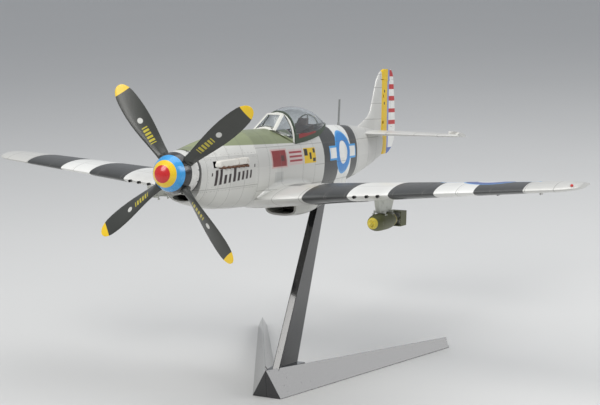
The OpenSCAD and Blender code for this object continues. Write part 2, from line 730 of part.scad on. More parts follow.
module nav_lights() airframe() {
    color("red") tip_light();
    color("green") mirror([1, 0, 0]) tip_light();
}
module tip_light() {
    x = half_span - 4;
    translate([x, wing_le(x) + 12, wing_z(x) + 2.2]) sphere(r = 1, $fn = 24);
}

pylon_x = 88;
pylon_z = -28.6;
module pylon() {
    translate([pylon_x - 1.6, 0, 0]) rotate([90, 0, 90]) linear_extrude(3.2)
        polygon([[128, -14], [131.5, -24], [134, pylon_z], [154, pylon_z], [162, -14]]);
    for (y = [136, 149])
        translate([pylon_x - 4.2, y, pylon_z - 0.4]) cube([8.4, 1.6, 1.4]);
}
module pylons() airframe() color("lightgray") moulded() both_sides() difference() {
    pylon();
    loft([for (x = [pylon_x - 12, pylon_x + 12]) full_section(x)]);
}

bomb_r = 5.9;
bomb_y = 120;
bomb_length = 54;
bomb_z = pylon_z - bomb_r - 0.45;
fin_box = 4.8;              // half width of the box round the bomb's fins
module bomb() airframe() translate([pylon_x, bomb_y, bomb_z]) {
    color("darkolivegreen") along_y() rotate_extrude($fn = 48) polygon(concat(
        [[0, 0], [0.9, 0], [1.3, 1.6], [1.3, 2.6]],
        [for (a = [25:13:90]) [bomb_r * sin(a), 15 - 14 * cos(a)]],
        [[bomb_r, 27], [bomb_r * 0.93, 32], [bomb_r * 0.76, 38], [bomb_r * 0.5, 44], [1.5, 51], [0, 51]]));
    color("darkolivegreen") difference() {
        for (a = [0, 90]) rotate([0, a, 0]) {
            translate([-fin_box - 0.3, bomb_length - 13, -0.3]) cube([2 * fin_box + 0.6, 13, 0.6]);
            for (side = [-1, 1]) translate([-fin_box - 0.3, bomb_length - 11, side * fin_box - 0.3])
                cube([2 * fin_box + 0.6, 11, 0.6]);
        }
        translate([0, bomb_length - 14, 0]) along_y() cylinder(h = 10.8, r1 = 3.2, r2 = 1.4, $fn = 48);
    }
}

// Steel pins in the ends of the bays, and the tube that carries the elevators
module hinge_pins() airframe() color("silver") {
    both_sides() for (x = [control_start, aileron_end]) hinge_pin(x, pin_r, 24);
    both_sides() rod(hinge_point(aileron_start - rib - pin_reach),
        hinge_point(aileron_start + pin_reach), pin_r);
    elevator_tube(pin_r, 24);
    rudder_brackets();
}

// ---------------------------------------------------------------- propeller

hub_y = 16.3;
spinner_length = 24.6;
spinner_r = 13.9;
function spinner_profile(y, inset = 0) =
    (spinner_r - inset) * sqrt(max(0, 1 - (1 - (y - inset) / (spinner_length - inset)) ^ 2));
root_r = 3.4;

module spinner() airframe() color("silver") difference() {
    along_y() rotate_extrude($fn = 72) polygon(concat(
        [for (i = [0:16]) let(y = (spinner_length - 1.8) * (i / 16) ^ 2) [spinner_profile(y), y]],
        [for (i = [16:-1:0]) let(y = lerp(skin, spinner_length - 1.8, (i / 16) ^ 2))
            [i == 0 ? 0 : spinner_profile(y, skin), y]]));
    for (a = [0:90:270])
        translate([0, hub_y, 0]) rotate([0, 90 - blade_rest - a, 0])
            translate([0, 0, 7]) cylinder(h = 12, r = root_r + 0.25, $fn = 40);
}
module spinner_backplate() airframe() color("dimgray") difference() {
    translate([0, spinner_length - 1.8, 0]) along_y() cylinder(h = 1.5, r = spinner_r - 0.15, $fn = 72);
    translate([0, 20, 0]) along_y() cylinder(h = 8, r = shaft_r, $fn = 48);
}
module propeller_hub() airframe() color("gray") {
    translate([0, 10, 0]) along_y() cylinder(h = 12.8, r = 6, $fn = 48);
    translate([0, 22.8, 0]) along_y() cylinder(h = 14.2, r = shaft_r, $fn = 48);
}

// Radius, chord, thickness, pitch
blade_rows = [
    [11, 7.2, 5.6, 52],
    [18, 8.8, 3.4, 47],
    [26, 10.8, 2.2, 41],
    [36, 13, 1.6, 35],
    [46, 13.8, 1.2, 30],
    [54, 13, 1.0, 26],
    [59.5, 11.6, 0.85, 24],
    [prop_radius - 3.6, 9.3, 0.7, 23],
    [prop_radius - 1.4, 6.4, 0.6, 22.4],
    [prop_radius - 0.4, 3.8, 0.5, 22.1],
    [prop_radius, 1.6, 0.5, 22]
];
blade_stations = [13, 15, 18, 22, 26, 31, 36, 41, 46, 51, 55, 59, prop_radius - 4.6,
    prop_radius - 2.4, prop_radius - 1.2, prop_radius - 0.4, prop_radius];
function blade_ring(r) = let(
    b = smooth_row(blade_rows, r),
    half = [for (s = [1, 0.85, 0.65, 0.42, 0.22, 0.07, 0])
        [(0.5 - s) * b[1], b[2] * (0.5 * lens_half(s) / 0.5 + 0.12 * s)]],
    ring = concat(half, [for (i = [5:-1:0]) [half[i].x, -half[i].y]]))
    [for (p = ring) [r, -p.x * sin(b[3]) + p.y * cos(b[3]), p.x * cos(b[3]) + p.y * sin(b[3])]];

module blade(i) {
    translate([0, hub_y, 0]) rotate([0, -blade_rest - 90 * i, 0]) {
        color("black") moulded() loft([for (r = blade_stations) blade_ring(r)]);
        color("black") translate([6.2, 0, 0]) rotate([0, 90, 0]) cylinder(h = 7.4, r = root_r, $fn = 40);
    }
}
module blade_1() airframe() blade(0);
module blade_2() airframe() blade(1);
module blade_3() airframe() blade(2);
module blade_4() airframe() blade(3);

// ---------------------------------------------------------------- stand, in millimetres

front_y = -22.5;
upright_thick = 4.4;
socket_half = 4.6;

// Ridge-roof arm: an isosceles triangle that shrinks towards the tip
module stand_arm() {
    color("black") difference() {
        moulded() arm_loft();
        socket_space();
    }
}
function arm_triangle(d, w) = let(c = [d * sin(arm_angle), front_y + d * cos(arm_angle)])
    [[c.x, c.y, w], [c.x + w / 2 * cos(arm_angle), c.y - w / 2 * sin(arm_angle), 0],
     [c.x - w / 2 * cos(arm_angle), c.y + w / 2 * sin(arm_angle), 0]];
module arm_loft() {
    difference() {
        loft([for (d = [-9, arm_length]) arm_triangle(d, lerp(arm_front, arm_tip, d / arm_length))]);
        translate([-80, -60, -1]) cube([160, 60 + front_y, 60]);
        translate([-100, -60, -1]) cube([100, 200, 60]);
    }
}
module socket_space() {
    translate([-socket_half, -15, -1]) cube([2 * socket_half, 35, 40]);
}
module stand_arm_left() stand_arm();
module stand_arm_right() mirror([1, 0, 0]) stand_arm();
module stand_socket() color("black") difference() {
    translate([-socket_half, 0, 0]) rotate([90, 0, 90]) linear_extrude(2 * socket_half)
        polygon([[-15, 1.2], [20, 1.2], [20, 8], [-6, 12.5], [-15, 12.5]]);
    upright_blade();
    for (y = [-8, 12]) translate([0, y, 0]) cylinder(h = 5, r = 1.3, $fn = 24);
}
// Side view of the upright, whose top is the tongue in the scoop's floor
upright_outline = [[-11, 11], [-6, 6], [13, 6], [64.2, 104], [53.2, 102]];
module upright_blade(grow = 0) {
    translate([-upright_thick / 2 - grow, 0, 0]) rotate([90, 0, 90])
        linear_extrude(upright_thick + 2 * grow) polygon(upright_outline);
}
module stand_upright() color("black") upright_blade();
module stand_screws() color("silver") for (y = [-8, 12]) translate([0, y, 0]) {
    translate([0, 0, 0.2]) cylinder(h = 1, r = 2.4, $fn = 32);
    translate([0, 0, 1.2]) cylinder(h = 3.4, r = 1.3, $fn = 24);
}
// The slot in the scoop's floor, given in the airframe's own inches
module upright_slot(grow = 0) {
    translate(foot) scale(1 / k) rotate([nose_up, 0, 0]) upright_blade(grow);
}

// ---------------------------------------------------------------- nodes

stand_arm_left();
stand_arm_right();
stand_socket();
stand_upright();
stand_screws();
fuselage_left();
fuselage_right();
nose_ring();
cowl_top();
cowl_left();
cowl_right();
cowl_bottom();
exhaust_shrouds();
exhaust_stubs();
engine_block();
firewall();
shaft_bush();
fin();
tailplane();
scoop();
radiator_core();
scoop_exit_door();
cockpit_tub();
seat();
instrument_panel();
headrest_armour();
radio_set();
windscreen_glass();
windscreen_frame();
mast();
wing_upper_left();
wing_upper_right();
wing_lower();
gun_barrels();
gear_doors();
nav_lights();
pylons();
bomb();
hinge_pins();
canopy_glass();
canopy_frame();
rudder();
elevator_left();
elevator_right();
aileron_left();
aileron_right();
flap_left();
flap_right();
spinner();
spinner_backplate();
propeller_hub();
blade_1();
blade_2();
blade_3();
blade_4();
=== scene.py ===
"""Looks of the propeller plane model on its stand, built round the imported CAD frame.

The airframe is described in inches of the full-size aircraft, as in the design: X to port, Y aft
from the spinner's tip, Z up from the propeller's axis. to_row() brings a point to the row frame.
"""
import math

import bpy
import bmesh
from mathutils import Matrix, Vector


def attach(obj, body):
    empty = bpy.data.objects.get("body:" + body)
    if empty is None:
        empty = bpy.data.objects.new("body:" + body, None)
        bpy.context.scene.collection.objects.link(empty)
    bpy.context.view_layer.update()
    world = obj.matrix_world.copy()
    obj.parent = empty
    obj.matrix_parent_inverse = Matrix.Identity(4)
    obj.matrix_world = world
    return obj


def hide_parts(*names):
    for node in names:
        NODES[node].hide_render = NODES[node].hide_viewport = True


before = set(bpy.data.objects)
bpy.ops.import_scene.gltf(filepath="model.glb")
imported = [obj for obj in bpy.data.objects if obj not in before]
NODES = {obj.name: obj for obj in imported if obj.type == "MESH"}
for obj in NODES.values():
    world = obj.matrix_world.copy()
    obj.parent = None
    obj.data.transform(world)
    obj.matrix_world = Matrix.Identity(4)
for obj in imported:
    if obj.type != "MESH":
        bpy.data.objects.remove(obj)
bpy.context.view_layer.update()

# ------------------------------------------------------------------ the airframe's own measures

INCH = 25.4 / 32 / 1000          # metres of the model for one full-size inch
NOSE_UP = math.radians(7)        # attitude on the stand
FOOT = Vector((0, 178, -164.6))  # point of the airframe that stands over the origin
TO_ROW = Matrix.Rotation(-NOSE_UP, 4, 'X') @ Matrix.Scale(INCH, 4) @ Matrix.Translation(-FOOT)

BLADE_REST = math.radians(38.2)
SPINNER_RIM = 13.8               # radius of the ring of screws round the spinner
PYLON_X = 88.0
BOMB_Y, BOMB_Z = 120.0, -34.95


def to_row(x, y, z):
    return TO_ROW @ Vector((x, y, z))


# ------------------------------------------------------------------ node graphs

class Value:
    """A number in a material's graph, with arithmetic."""

    def __init__(self, graph, socket):
        self.g, self.s = graph, socket

    def __add__(self, o): return self.g.op('ADD', self, o)
    def __radd__(self, o): return self.g.op('ADD', o, self)
    def __sub__(self, o): return self.g.op('SUBTRACT', self, o)
    def __rsub__(self, o): return self.g.op('SUBTRACT', o, self)
    def __mul__(self, o): return self.g.op('MULTIPLY', self, o)
    def __rmul__(self, o): return self.g.op('MULTIPLY', o, self)
    def __truediv__(self, o): return self.g.op('DIVIDE', self, o)


class Graph:
    """One Principled material and the small tools that its pattern is made with."""

    def __init__(self, name, rough=0.4, metal=0.0, spec=0.5, coat=0.0, coat_rough=0.1):
        self.mat = bpy.data.materials.new(name)
        self.mat.use_nodes = True
        self.nodes, self.links = self.mat.node_tree.nodes, self.mat.node_tree.links
        self.bsdf = self.nodes["Principled BSDF"]
        self.bsdf.inputs["Roughness"].default_value = rough
        self.bsdf.inputs["Metallic"].default_value = metal
        self.bsdf.inputs["Specular IOR Level"].default_value = spec
        self.bsdf.inputs["Coat Weight"].default_value = coat
        self.bsdf.inputs["Coat Roughness"].default_value = coat_rough
        self.coord = self.nodes.new("ShaderNodeTexCoord").outputs["Object"]
        self.rough = rough

    def feed(self, socket, value):
        if isinstance(value, Value):
            self.links.new(value.s, socket)
        elif isinstance(value, bpy.types.NodeSocket):
            self.links.new(value, socket)
        else:
            socket.default_value = value

    def op(self, kind, a, b=0.0, clamp=False):
        n = self.nodes.new("ShaderNodeMath")
        n.operation, n.use_clamp = kind, clamp
        self.feed(n.inputs[0], a)
        self.feed(n.inputs[1], b)
        return Value(self, n.outputs[0])

    def abs(self, a): return self.op('ABSOLUTE', a)
    def both(self, *parts):
        total = parts[0]
        for p in parts[1:]:
            total = self.op('MULTIPLY', total, p)
        return total

    def either(self, *parts):
        total = parts[0]
        for p in parts[1:]:
            total = self.op('MAXIMUM', total, p)
        return total

    def least(self, *parts):
        total = parts[0]
        for p in parts[1:]:
            total = self.op('MINIMUM', total, p)
        return total

    def above(self, v, limit, soft=0.25):
        """1 where v is over the limit, with an edge as wide as soft."""
        return self.op('ADD', (v - limit) / soft, 0.5, clamp=True)

    def below(self, v, limit, soft=0.25):
        return self.op('ADD', (limit - v) / soft, 0.5, clamp=True)

    def within(self, v, lo, hi, soft=0.25):
        return self.both(self.above(v, lo, soft), self.below(v, hi, soft))

    def near(self, v, places, half=0.22, soft=0.2):
        """1 on thin lines at these places."""
        distance = self.least(*[self.abs(v - p) for p in places])
        return self.below(distance, half, soft)

    def disc(self, a, b, ca, cb, radius, soft=0.3):
        d = self.op('SQRT', (a - ca) * (a - ca) + (b - cb) * (b - cb))
        return self.below(d, radius, soft)

    def box(self, a, b, a0, a1, b0, b1, soft=0.25):
        return self.both(self.within(a, a0, a1, soft), self.within(b, b0, b1, soft))

    def split(self, vector):
        n = self.nodes.new("ShaderNodeSeparateXYZ")
        self.links.new(vector, n.inputs[0])
        return tuple(Value(self, n.outputs[i]) for i in range(3))

    def inches(self):
        """The point's place in the airframe's own inches."""
        n = self.nodes.new("ShaderNodeMapping")
        self.links.new(self.coord, n.inputs["Vector"])
        n.inputs["Scale"].default_value = (1 / INCH, 1 / INCH, 1 / INCH)
        n.inputs["Rotation"].default_value = (NOSE_UP, 0, 0)
        n.inputs["Location"].default_value = FOOT
        return self.split(n.outputs[0])

    def noise(self, scale, detail=3.0, rough=0.55, stretch=(1, 1, 1), seed=0.0):
        """Cloudy value round 0.5; scale is per metre."""
        m = self.nodes.new("ShaderNodeMapping")
        self.links.new(self.coord, m.inputs["Vector"])
        m.inputs["Scale"].default_value = stretch
        m.inputs["Location"].default_value = (seed, seed * 0.7, -seed)
        n = self.nodes.new("ShaderNodeTexNoise")
        n.inputs["Scale"].default_value = scale
        n.inputs["Detail"].default_value = detail
        n.inputs["Roughness"].default_value = rough
        self.links.new(m.outputs[0], n.inputs["Vector"])
        return Value(self, n.outputs["Fac"])

    def cells(self, x, y, z, step):
        """A steady random value for each block of the airframe, for the tint of its panels."""
        c = self.nodes.new("ShaderNodeCombineXYZ")
        for i, (v, s) in enumerate(zip((x, y, z), step)):
            self.feed(c.inputs[i], self.op('FLOOR', v / s))
        n = self.nodes.new("ShaderNodeTexWhiteNoise")
        n.noise_dimensions = '3D'
        self.links.new(c.outputs[0], n.inputs["Vector"])
        return Value(self, n.outputs["Value"])

    def mix(self, fac, a, b):
        n = self.nodes.new("ShaderNodeMix")
        n.data_type = 'RGBA'
        self.feed(n.inputs[0], fac)
        for socket, v in ((n.inputs[6], a), (n.inputs[7], b)):
            self.feed(socket, (*v, 1) if isinstance(v, tuple) else v)
        return n.outputs[2]

    def tint(self, colour, amount):
        """Colour times a number."""
        n = self.nodes.new("ShaderNodeMix")
        n.data_type, n.blend_type = 'RGBA', 'MULTIPLY'
        n.inputs[0].default_value = 1.0
        self.feed(n.inputs[6], (*colour, 1) if isinstance(colour, tuple) else colour)
        c = self.nodes.new("ShaderNodeCombineColor")
        for i in range(3):
            self.feed(c.inputs[i], amount)
        self.links.new(c.outputs[0], n.inputs[7])
        return n.outputs[2]

    def colour(self, value):
        self.feed(self.bsdf.inputs["Base Color"], (*value, 1) if isinstance(value, tuple) else value)

    def roughness(self, value):
        self.feed(self.bsdf.inputs["Roughness"], value)

    def bump(self, height, depth, strength=1.0):
        """height is 0 to 1, depth in metres."""
        n = self.nodes.new("ShaderNodeBump")
        n.inputs["Strength"].default_value = strength
        n.inputs["Distance"].default_value = depth
        self.feed(n.inputs["Height"], height)
        self.links.new(n.outputs[0], self.bsdf.inputs["Normal"])


# ------------------------------------------------------------------ colours, linear

SILVER = (0.60, 0.595, 0.565)
STRIPE_DARK = (0.045, 0.047, 0.046)
STRIPE_WHITE = (0.80, 0.80, 0.77)
OLIVE = (0.235, 0.265, 0.150)
DARK_GREEN = (0.030, 0.048, 0.026)
RED = (0.52, 0.010, 0.012)
DARK_RED = (0.26, 0.010, 0.014)
YELLOW = (0.78, 0.52, 0.010)
BLUE = (0.015, 0.22, 0.60)
SKY = (0.06, 0.34, 0.72)
BLACK = (0.012, 0.012, 0.013)
WASH = (0.16, 0.155, 0.145)

STRIPES = (43.0, 73.0, 101.0, 131.5, 157.5, 189.0)   # span stations of the wing's stripes
BODY_BANDS = (205.0, 234.0, 262.5, 279.0)            # stations of the body's bands


def aged(g, colour, lines, tint=None, seed=0.0):
    """Dirt in the seams, panel tint and faint streaks, and the matching roughness and bump."""
    cloud = g.noise(55, 4, 0.6, (1, 0.35, 1), seed)
    colour = g.tint(colour, 0.93 + 0.14 * cloud if tint is None else (0.91 + 0.14 * cloud) * tint)
    colour = g.mix(lines * 0.48, colour, WASH)
    g.colour(colour)
    g.roughness(g.rough - 0.07 + 0.16 * cloud + 0.22 * lines)
    grain = g.noise(2600, 2, 0.5, (1, 1, 1), seed + 3)
    g.bump((1.0 - lines) * 0.9 + grain * 0.1, 0.00016, 0.55)


def glare_edge(g, y):
    """Height of the anti-glare panel's lower edge at a station."""
    return 15.6 - 2.6 * g.op('MULTIPLY', (47 - y) / 15, 1, clamp=True) - (y - 47) * 0.014


def body_paint():
    g = Graph("body_paint", rough=0.36, metal=0.30, coat=0.15, coat_rough=0.2)
    x, y, z = g.inches()
    side = g.abs(x)
    tint = 0.95 + 0.10 * g.cells(x, y, z, (9, 31, 13))
    c = SILVER
    # anti-glare panel from the nose to the windscreen
    edge = glare_edge(g, y)
    glare = g.both(g.above(z - edge, 0), g.below(y, 159))
    c = g.mix(glare, c, OLIVE)
    # bands round the rear body
    b = BODY_BANDS
    c = g.mix(g.within(y, b[0], b[1]), c, STRIPE_DARK)
    c = g.mix(g.within(y, b[1], b[2]), c, STRIPE_WHITE)
    c = g.mix(g.within(y, b[2], b[3]), c, STRIPE_DARK)
    # faded patches of red-brown and green on the spine between the bands
    worn = g.both(g.above(g.noise(90, 2, 0.5, (1, 1, 1), 5), 0.56, 0.05), g.above(z, 17.5, 3),
                  g.within(y, b[2], b[3] - 1))
    c = g.mix(worn * 0.6, c, (0.16, 0.06, 0.035))
    # plain roundel with side bars
    bars = g.both(g.within(y, 216.5, 274.5), g.within(z, -1.2, 9.6))
    c = g.mix(bars, c, SKY)
    c = g.mix(g.disc(y, z, 245.5, 4, 16.4), c, SKY)
    c = g.mix(g.both(g.within(y, 218, 273), g.within(z, 0.3, 8.1)), c, STRIPE_WHITE)
    c = g.mix(g.disc(y, z, 245.5, 4, 15.0), c, BLUE)
    c = g.mix(g.disc(y, z, 245.5, 4, 8.8), c, STRIPE_WHITE)
    # three plain colour panels under the windscreen and canopy
    c = g.mix(g.box(y, z, 116.2, 140.8, -1.9, 10.9), c, (0.62, 0.42, 0.40))
    c = g.mix(g.box(y, z, 118, 139, -0.9, 9.9), c, DARK_RED)
    c = g.mix(g.box(y, z, 131, 136, 2.6, 6.4), c, (0.08, 0.008, 0.010))
    c = g.mix(g.box(y, z, 143.2, 166, -0.9, 9.9), c, (0.66, 0.52, 0.50))
    stripes = g.above(g.op('SINE', (z + 1.6) * (2 * math.pi / 2.9)), 0.1, 0.3)
    c = g.mix(g.both(g.box(y, z, 144.4, 164.8, -0.2, 9.2), stripes), c, (0.36, 0.03, 0.045))
    c = g.mix(g.box(y, z, 168.6, 189, -0.9, 9.9), c, YELLOW)
    c = g.mix(g.either(g.box(y, z, 169.2, 175, 4.6, 9.4), g.box(y, z, 178, 181.4, 1.8, 6.6),
                       g.box(y, z, 183.6, 188.2, 0, 2.6), g.box(y, z, 184.6, 188.2, 6.2, 9.2)), c, BLACK)
    # row of plain dark dashes on the engine cover
    lean = y - z * 0.16
    foot = -9.2 + (y - 36) * 0.062
    dash = None
    for start, width, height in ((37.4, 1.4, 2.0), (42.0, 3.0, 9.6), (47.4, 3.0, 9.6), (53.0, 3.0, 5.6),
                                 (58.6, 2.6, 5.6), (64.0, 3.2, 9.4), (69.6, 2.8, 5.6), (75.0, 2.6, 5.6),
                                 (80.2, 2.6, 5.6), (85.4, 2.2, 5.2), (90.6, 1.4, 2.0)):
        rise = z - foot - (6.4 if height < 3 else 0)
        bar = g.both(g.within(lean, start, start + width, 0.3), g.within(rise, 0, height, 0.3))
        dash = bar if dash is None else g.either(dash, bar)
    c = g.mix(dash, c, (0.028, 0.016, 0.018))
    # pale access plate
    c = g.mix(g.box(y, z, 121, 134, -11.6, -4.6) * 0.35, c, (0.30, 0.32, 0.32))
    # smoke behind the exhausts, and painted shade and painted floor reflection, greener and darker, under the
    # nose
    soot = g.both(g.within(z, -4, 9, 6), g.within(y, 84, 150, 60), g.noise(70, 3, 0.6, (1, 0.2, 1), 2))
    c = g.mix(soot * 0.34, c, (0.24, 0.21, 0.18))
    # painted shade and painted floor reflection on the chin: a greener, darker tone below z -12
    chin_shade_and_reflection = g.both(g.below(z, -12, 12), g.noise(40, 3, 0.6, (1, 0.4, 1), 8))
    c = g.mix(chin_shade_and_reflection * 0.30, c, (0.30, 0.31, 0.25))
    lines = g.either(
        g.near(y, (32, 45.5, 60, 78, 97, 113, 131, 166, 187, 205, 220, 252, 283, 311, 333)),
        g.both(g.near(z, (-11, 9)), g.below(y, 97)),
        g.both(g.near(z, (12.6, -16)), g.within(y, 97, 340)),
        g.both(g.near(z, (-2.5,)), g.within(y, 187, 252)))
    near_rows = g.both(g.either(g.near(y, (33.6, 95.4, 112, 167.4, 206.4, 253.6), 0.35, 0.3),
                                g.both(g.near(z, (-12.2, 10.2, 7.8), 0.35, 0.3), g.below(y, 97))),
                       g.above(g.op('SINE', (y + z) * 3.3), 0.2, 0.3), g.above(side, 3, 2))
    aged(g, c, g.either(lines, near_rows * 0.45), tint)
    return g.mat


def wing_paint():
    g = Graph("wing_paint", rough=0.34, metal=0.22, coat=0.15, coat_rough=0.2)
    x, y, z = g.inches()
    side = g.abs(x)
    tint = 0.95 + 0.09 * g.cells(x, y, z, (24, 27, 400))
    c = SILVER
    s = STRIPES
    for lo, hi, paint in ((s[0], s[1], STRIPE_DARK), (s[1], s[2], STRIPE_WHITE), (s[2], s[3], STRIPE_DARK),
                          (s[3], s[4], STRIPE_WHITE), (s[4], s[5], STRIPE_DARK)):
        c = g.mix(g.within(side, lo, hi), c, paint)
    # plain roundel on the port upper and starboard lower faces
    level = z + 23.5 - 0.0848 * side
    face = g.either(g.both(g.above(x, 0), g.above(level, 0)), g.both(g.below(x, 0), g.below(level, 0)))
    disc = g.disc(side, y, 160, 152, 18.2)
    bars = g.box(side, y, 126, 194, 146.2, 157.8)
    c = g.mix(g.both(face, g.either(disc, bars)), c, SKY)
    c = g.mix(g.both(face, g.box(side, y, 127.5, 192.5, 147.6, 156.4)), c, STRIPE_WHITE)
    c = g.mix(g.both(face, g.disc(side, y, 160, 152, 16.8)), c, (0.05, 0.10, 0.34))
    c = g.mix(g.both(face, g.disc(side, y, 160, 152, 8.6)), c, STRIPE_WHITE)
    # dark walkway beside the body
    walk = g.both(g.above(level, 0), g.box(side, y, 20, 31, 132, 196, 0.4))
    c = g.mix(walk * 0.75, c, (0.10, 0.10, 0.10))
    # gun smoke and wheel-well grime below
    smoke = g.both(g.within(side, 76, 98, 6), g.below(y, 132, 20), g.noise(90, 3, 0.6, (1, 0.3, 1), 4))
    c = g.mix(smoke * 0.3, c, (0.22, 0.20, 0.18))
    lines = g.either(
        g.near(side, (24, 41, 57, 71, 104, 124, 146, 168, 190, 208), 0.24),
        g.both(g.near(y - 0.04 * side, (128, 158), 0.24), g.below(side, 208)),
        g.both(g.near(y, (136, 168), 0.24), g.within(side, 71, 104)),
        g.both(g.near(y, (186,), 0.3), g.within(side, 140, 166)))
    rows = g.both(g.near(side, (25.4, 58.4, 102.6, 125.4, 147.4, 191.4), 0.35, 0.3),
                  g.above(g.op('SINE', y * 3.1), 0.2, 0.3))
    aged(g, c, g.either(lines, rows * 0.45), tint, 11)
    return g.mat


def tail_paint():
    g = Graph("tail_paint", rough=0.36, metal=0.25, coat=0.15, coat_rough=0.2)
    x, y, z = g.inches()
    side = g.abs(x)
    upright = g.below(side, 5.6, 0.2)      # the fin and rudder; the tailplane lies outside
    tint = 0.96 + 0.08 * g.cells(x, y, z, (20, 16, 14))
    c = SILVER
    band = g.both(g.within(y, 351, 365.2), upright, g.above(z, -6))
    c = g.mix(band, c, YELLOW)
    c = g.mix(g.both(upright, g.either(g.disc(y, z, 358, 50, 1.3), g.disc(y, z, 358, 40, 1.3))), c, BLACK)
    aft = g.both(upright, g.above(y, 365.2))
    c = g.mix(aft, c, STRIPE_WHITE)
    reds = g.either(*[g.within(z, lo, hi, 0.3) for lo, hi in RUDDER_REDS])
    c = g.mix(g.both(aft, reds), c, RED)
    c = g.mix(g.both(upright, g.within(y, 365.2, 369.2)), c, (0.22, 0.26, 0.55))
    c = g.mix(g.both(aft, g.below(z, 2.5)), c, (0.06, 0.12, 0.40))
    lines = g.either(
        g.both(g.near(z, (27, 40, 53, 64), 0.24), g.below(y, 351)),
        g.both(g.near(side, (22, 44, 62), 0.24), g.above(side, 6)),
        g.both(g.near(y - 0.1 * side, (327,), 0.24), g.above(side, 6)),
        g.both(g.near(z, (20, 42), 0.2), g.within(y, 374, 380)),
        g.both(g.near(y, (374,), 0.2), g.within(z, 20, 42), upright))
    aged(g, c, lines, tint, 21)
    return g.mat


RUDDER_REDS = ((62.5, 68), (51.8, 56), (42, 46), (32, 35.4), (22, 25.6))


def mottled(name, colour, rough, metal=0.0, scale=80, spread=0.22, grain=1500, depth=0.0001, coat=0.0,
            spec=0.5, second=None, seed=0.0):
    """Painted or moulded plastic: cloudy colour, uneven sheen and a fine grain."""
    g = Graph(name, rough, metal, spec, coat)
    cloud = g.noise(scale, 4, 0.6, (1, 1, 1), seed)
    c = g.tint(colour, 1 - spread / 2 + spread * cloud)
    if second:
        c = g.mix(g.above(g.noise(scale * 2.2, 3, 0.6, (1, 1, 1), seed + 2), 0.60, 0.08) * 0.6, c, second)
    g.colour(c)
    g.roughness(rough - 0.08 + 0.16 * cloud)
    g.bump(g.noise(grain, 3, 0.6, (1, 1, 1), seed + 5), depth, 0.5)
    return g.mat


def olive_paint():
    g = Graph("olive_paint", rough=0.62)
    x, y, z = g.inches()
    edge = glare_edge(g, y)
    tint = 0.92 + 0.14 * g.cells(x, y, z, (12, 26, 40))
    c = g.mix(g.above(z - edge, 0), SILVER, OLIVE)
    lines = g.either(g.near(y, (32, 45.5, 60, 78, 97)), g.near(g.abs(x), (4.5,)))
    rows = g.both(g.near(y, (33.6, 46.8, 61.4, 79.4, 95.4), 0.35, 0.3),
                  g.above(g.op('SINE', x * 3.3), 0.2, 0.3))
    aged(g, c, g.either(lines, rows * 0.5), tint, 31)
    return g.mat


def spinner_paint():
    g = Graph("spinner_paint", rough=0.26, coat=0.4, coat_rough=0.12)
    _, y, _ = g.inches()
    c = SILVER
    for limit, paint in ((15.7, BLACK), (10.3, (0.03, 0.30, 0.66)), (5.0, YELLOW), (2.0, RED)):
        c = g.mix(g.below(y, limit, 0.16), c, paint)
    cloud = g.noise(160, 3, 0.6, (1, 1, 1), 2)
    g.colour(g.tint(c, 0.9 + 0.2 * cloud))
    g.roughness(0.20 + 0.14 * cloud)
    g.bump(1 - g.near(y, (21.2,), 0.18, 0.12) * 0.9 + g.noise(1800, 2) * 0.08, 0.00012, 0.5)
    return g.mat


def blade_paint():
    g = Graph("blade_paint", rough=0.30, coat=0.25, coat_rough=0.2)
    x, _, z = g.inches()
    r = g.op('SQRT', x * x + z * z)
    turn = g.op('ARCTAN2', z, x) - BLADE_REST
    across = g.op('SINE', turn * 4) * r * 0.25
    cloud = g.noise(70, 4, 0.6, (1, 1, 1), 4)
    c = g.tint((0.030, 0.032, 0.027), 0.75 + 0.5 * cloud)
    dot = g.below(g.op('SQRT', (r - 39.5) * (r - 39.5) * 0.55 + across * across), 1.4, 0.25)
    c = g.mix(dot, c, (0.55, 0.55, 0.52))
    code = g.both(g.within(r, 22.5, 34.5), g.within(across, -1.5, 1.5, 0.3),
                  g.above(g.op('SINE', r * 2.6), -0.35, 0.4))
    c = g.mix(code * 0.95, c, (0.46, 0.39, 0.03))
    tip = g.above(r - across * across * 0.02, 61.2, 0.2)
    c = g.mix(tip, c, YELLOW)
    edge = g.above(g.noise(420, 3, 0.7, (1, 1, 1), 7), 0.62, 0.05)
    chips = g.both(edge, g.above(g.abs(across), 5.4, 1.0))
    c = g.mix(chips * 0.35, c, (0.25, 0.25, 0.24))
    g.colour(c)
    g.roughness(0.26 + 0.16 * cloud)
    g.bump(g.noise(1500, 3, 0.6, (1, 1, 1), 6), 0.00008, 0.4)
    return g.mat


def canopy_frame_paint():
    g = Graph("canopy_frame_paint", rough=0.5)
    _, y, z = g.inches()
    plate = g.box(y, z - y * 0.10, 164, 197, 0.6, 5.0, 0.5)
    cloud = g.noise(120, 3, 0.6, (1, 1, 1), 9)
    c = g.tint(DARK_GREEN, 0.8 + 0.5 * cloud)
    c = g.mix(plate, c, (0.24, 0.020, 0.022))
    g.colour(c)
    g.roughness(0.42 + 0.18 * cloud)
    g.bump(1 - g.near(y, (163, 176, 190, 205, 221), 0.15, 0.12) * 0.8 + g.noise(1500, 2) * 0.1, 0.0001, 0.4)
    return g.mat


def screen_frame_paint():
    g = Graph("screen_frame_paint", rough=0.5)
    _, y, z = g.inches()
    base = g.below(z - (y - 136) * -0.12, 20.6, 0.4)
    cloud = g.noise(140, 3, 0.6, (1, 1, 1), 13)
    c = g.mix(g.both(base, g.below(y, 155.4)), (0.62, 0.62, 0.57), OLIVE)
    g.colour(g.tint(c, 0.88 + 0.24 * cloud))
    g.roughness(0.42 + 0.2 * cloud)
    g.bump(g.noise(1500, 2), 0.00008, 0.4)
    return g.mat


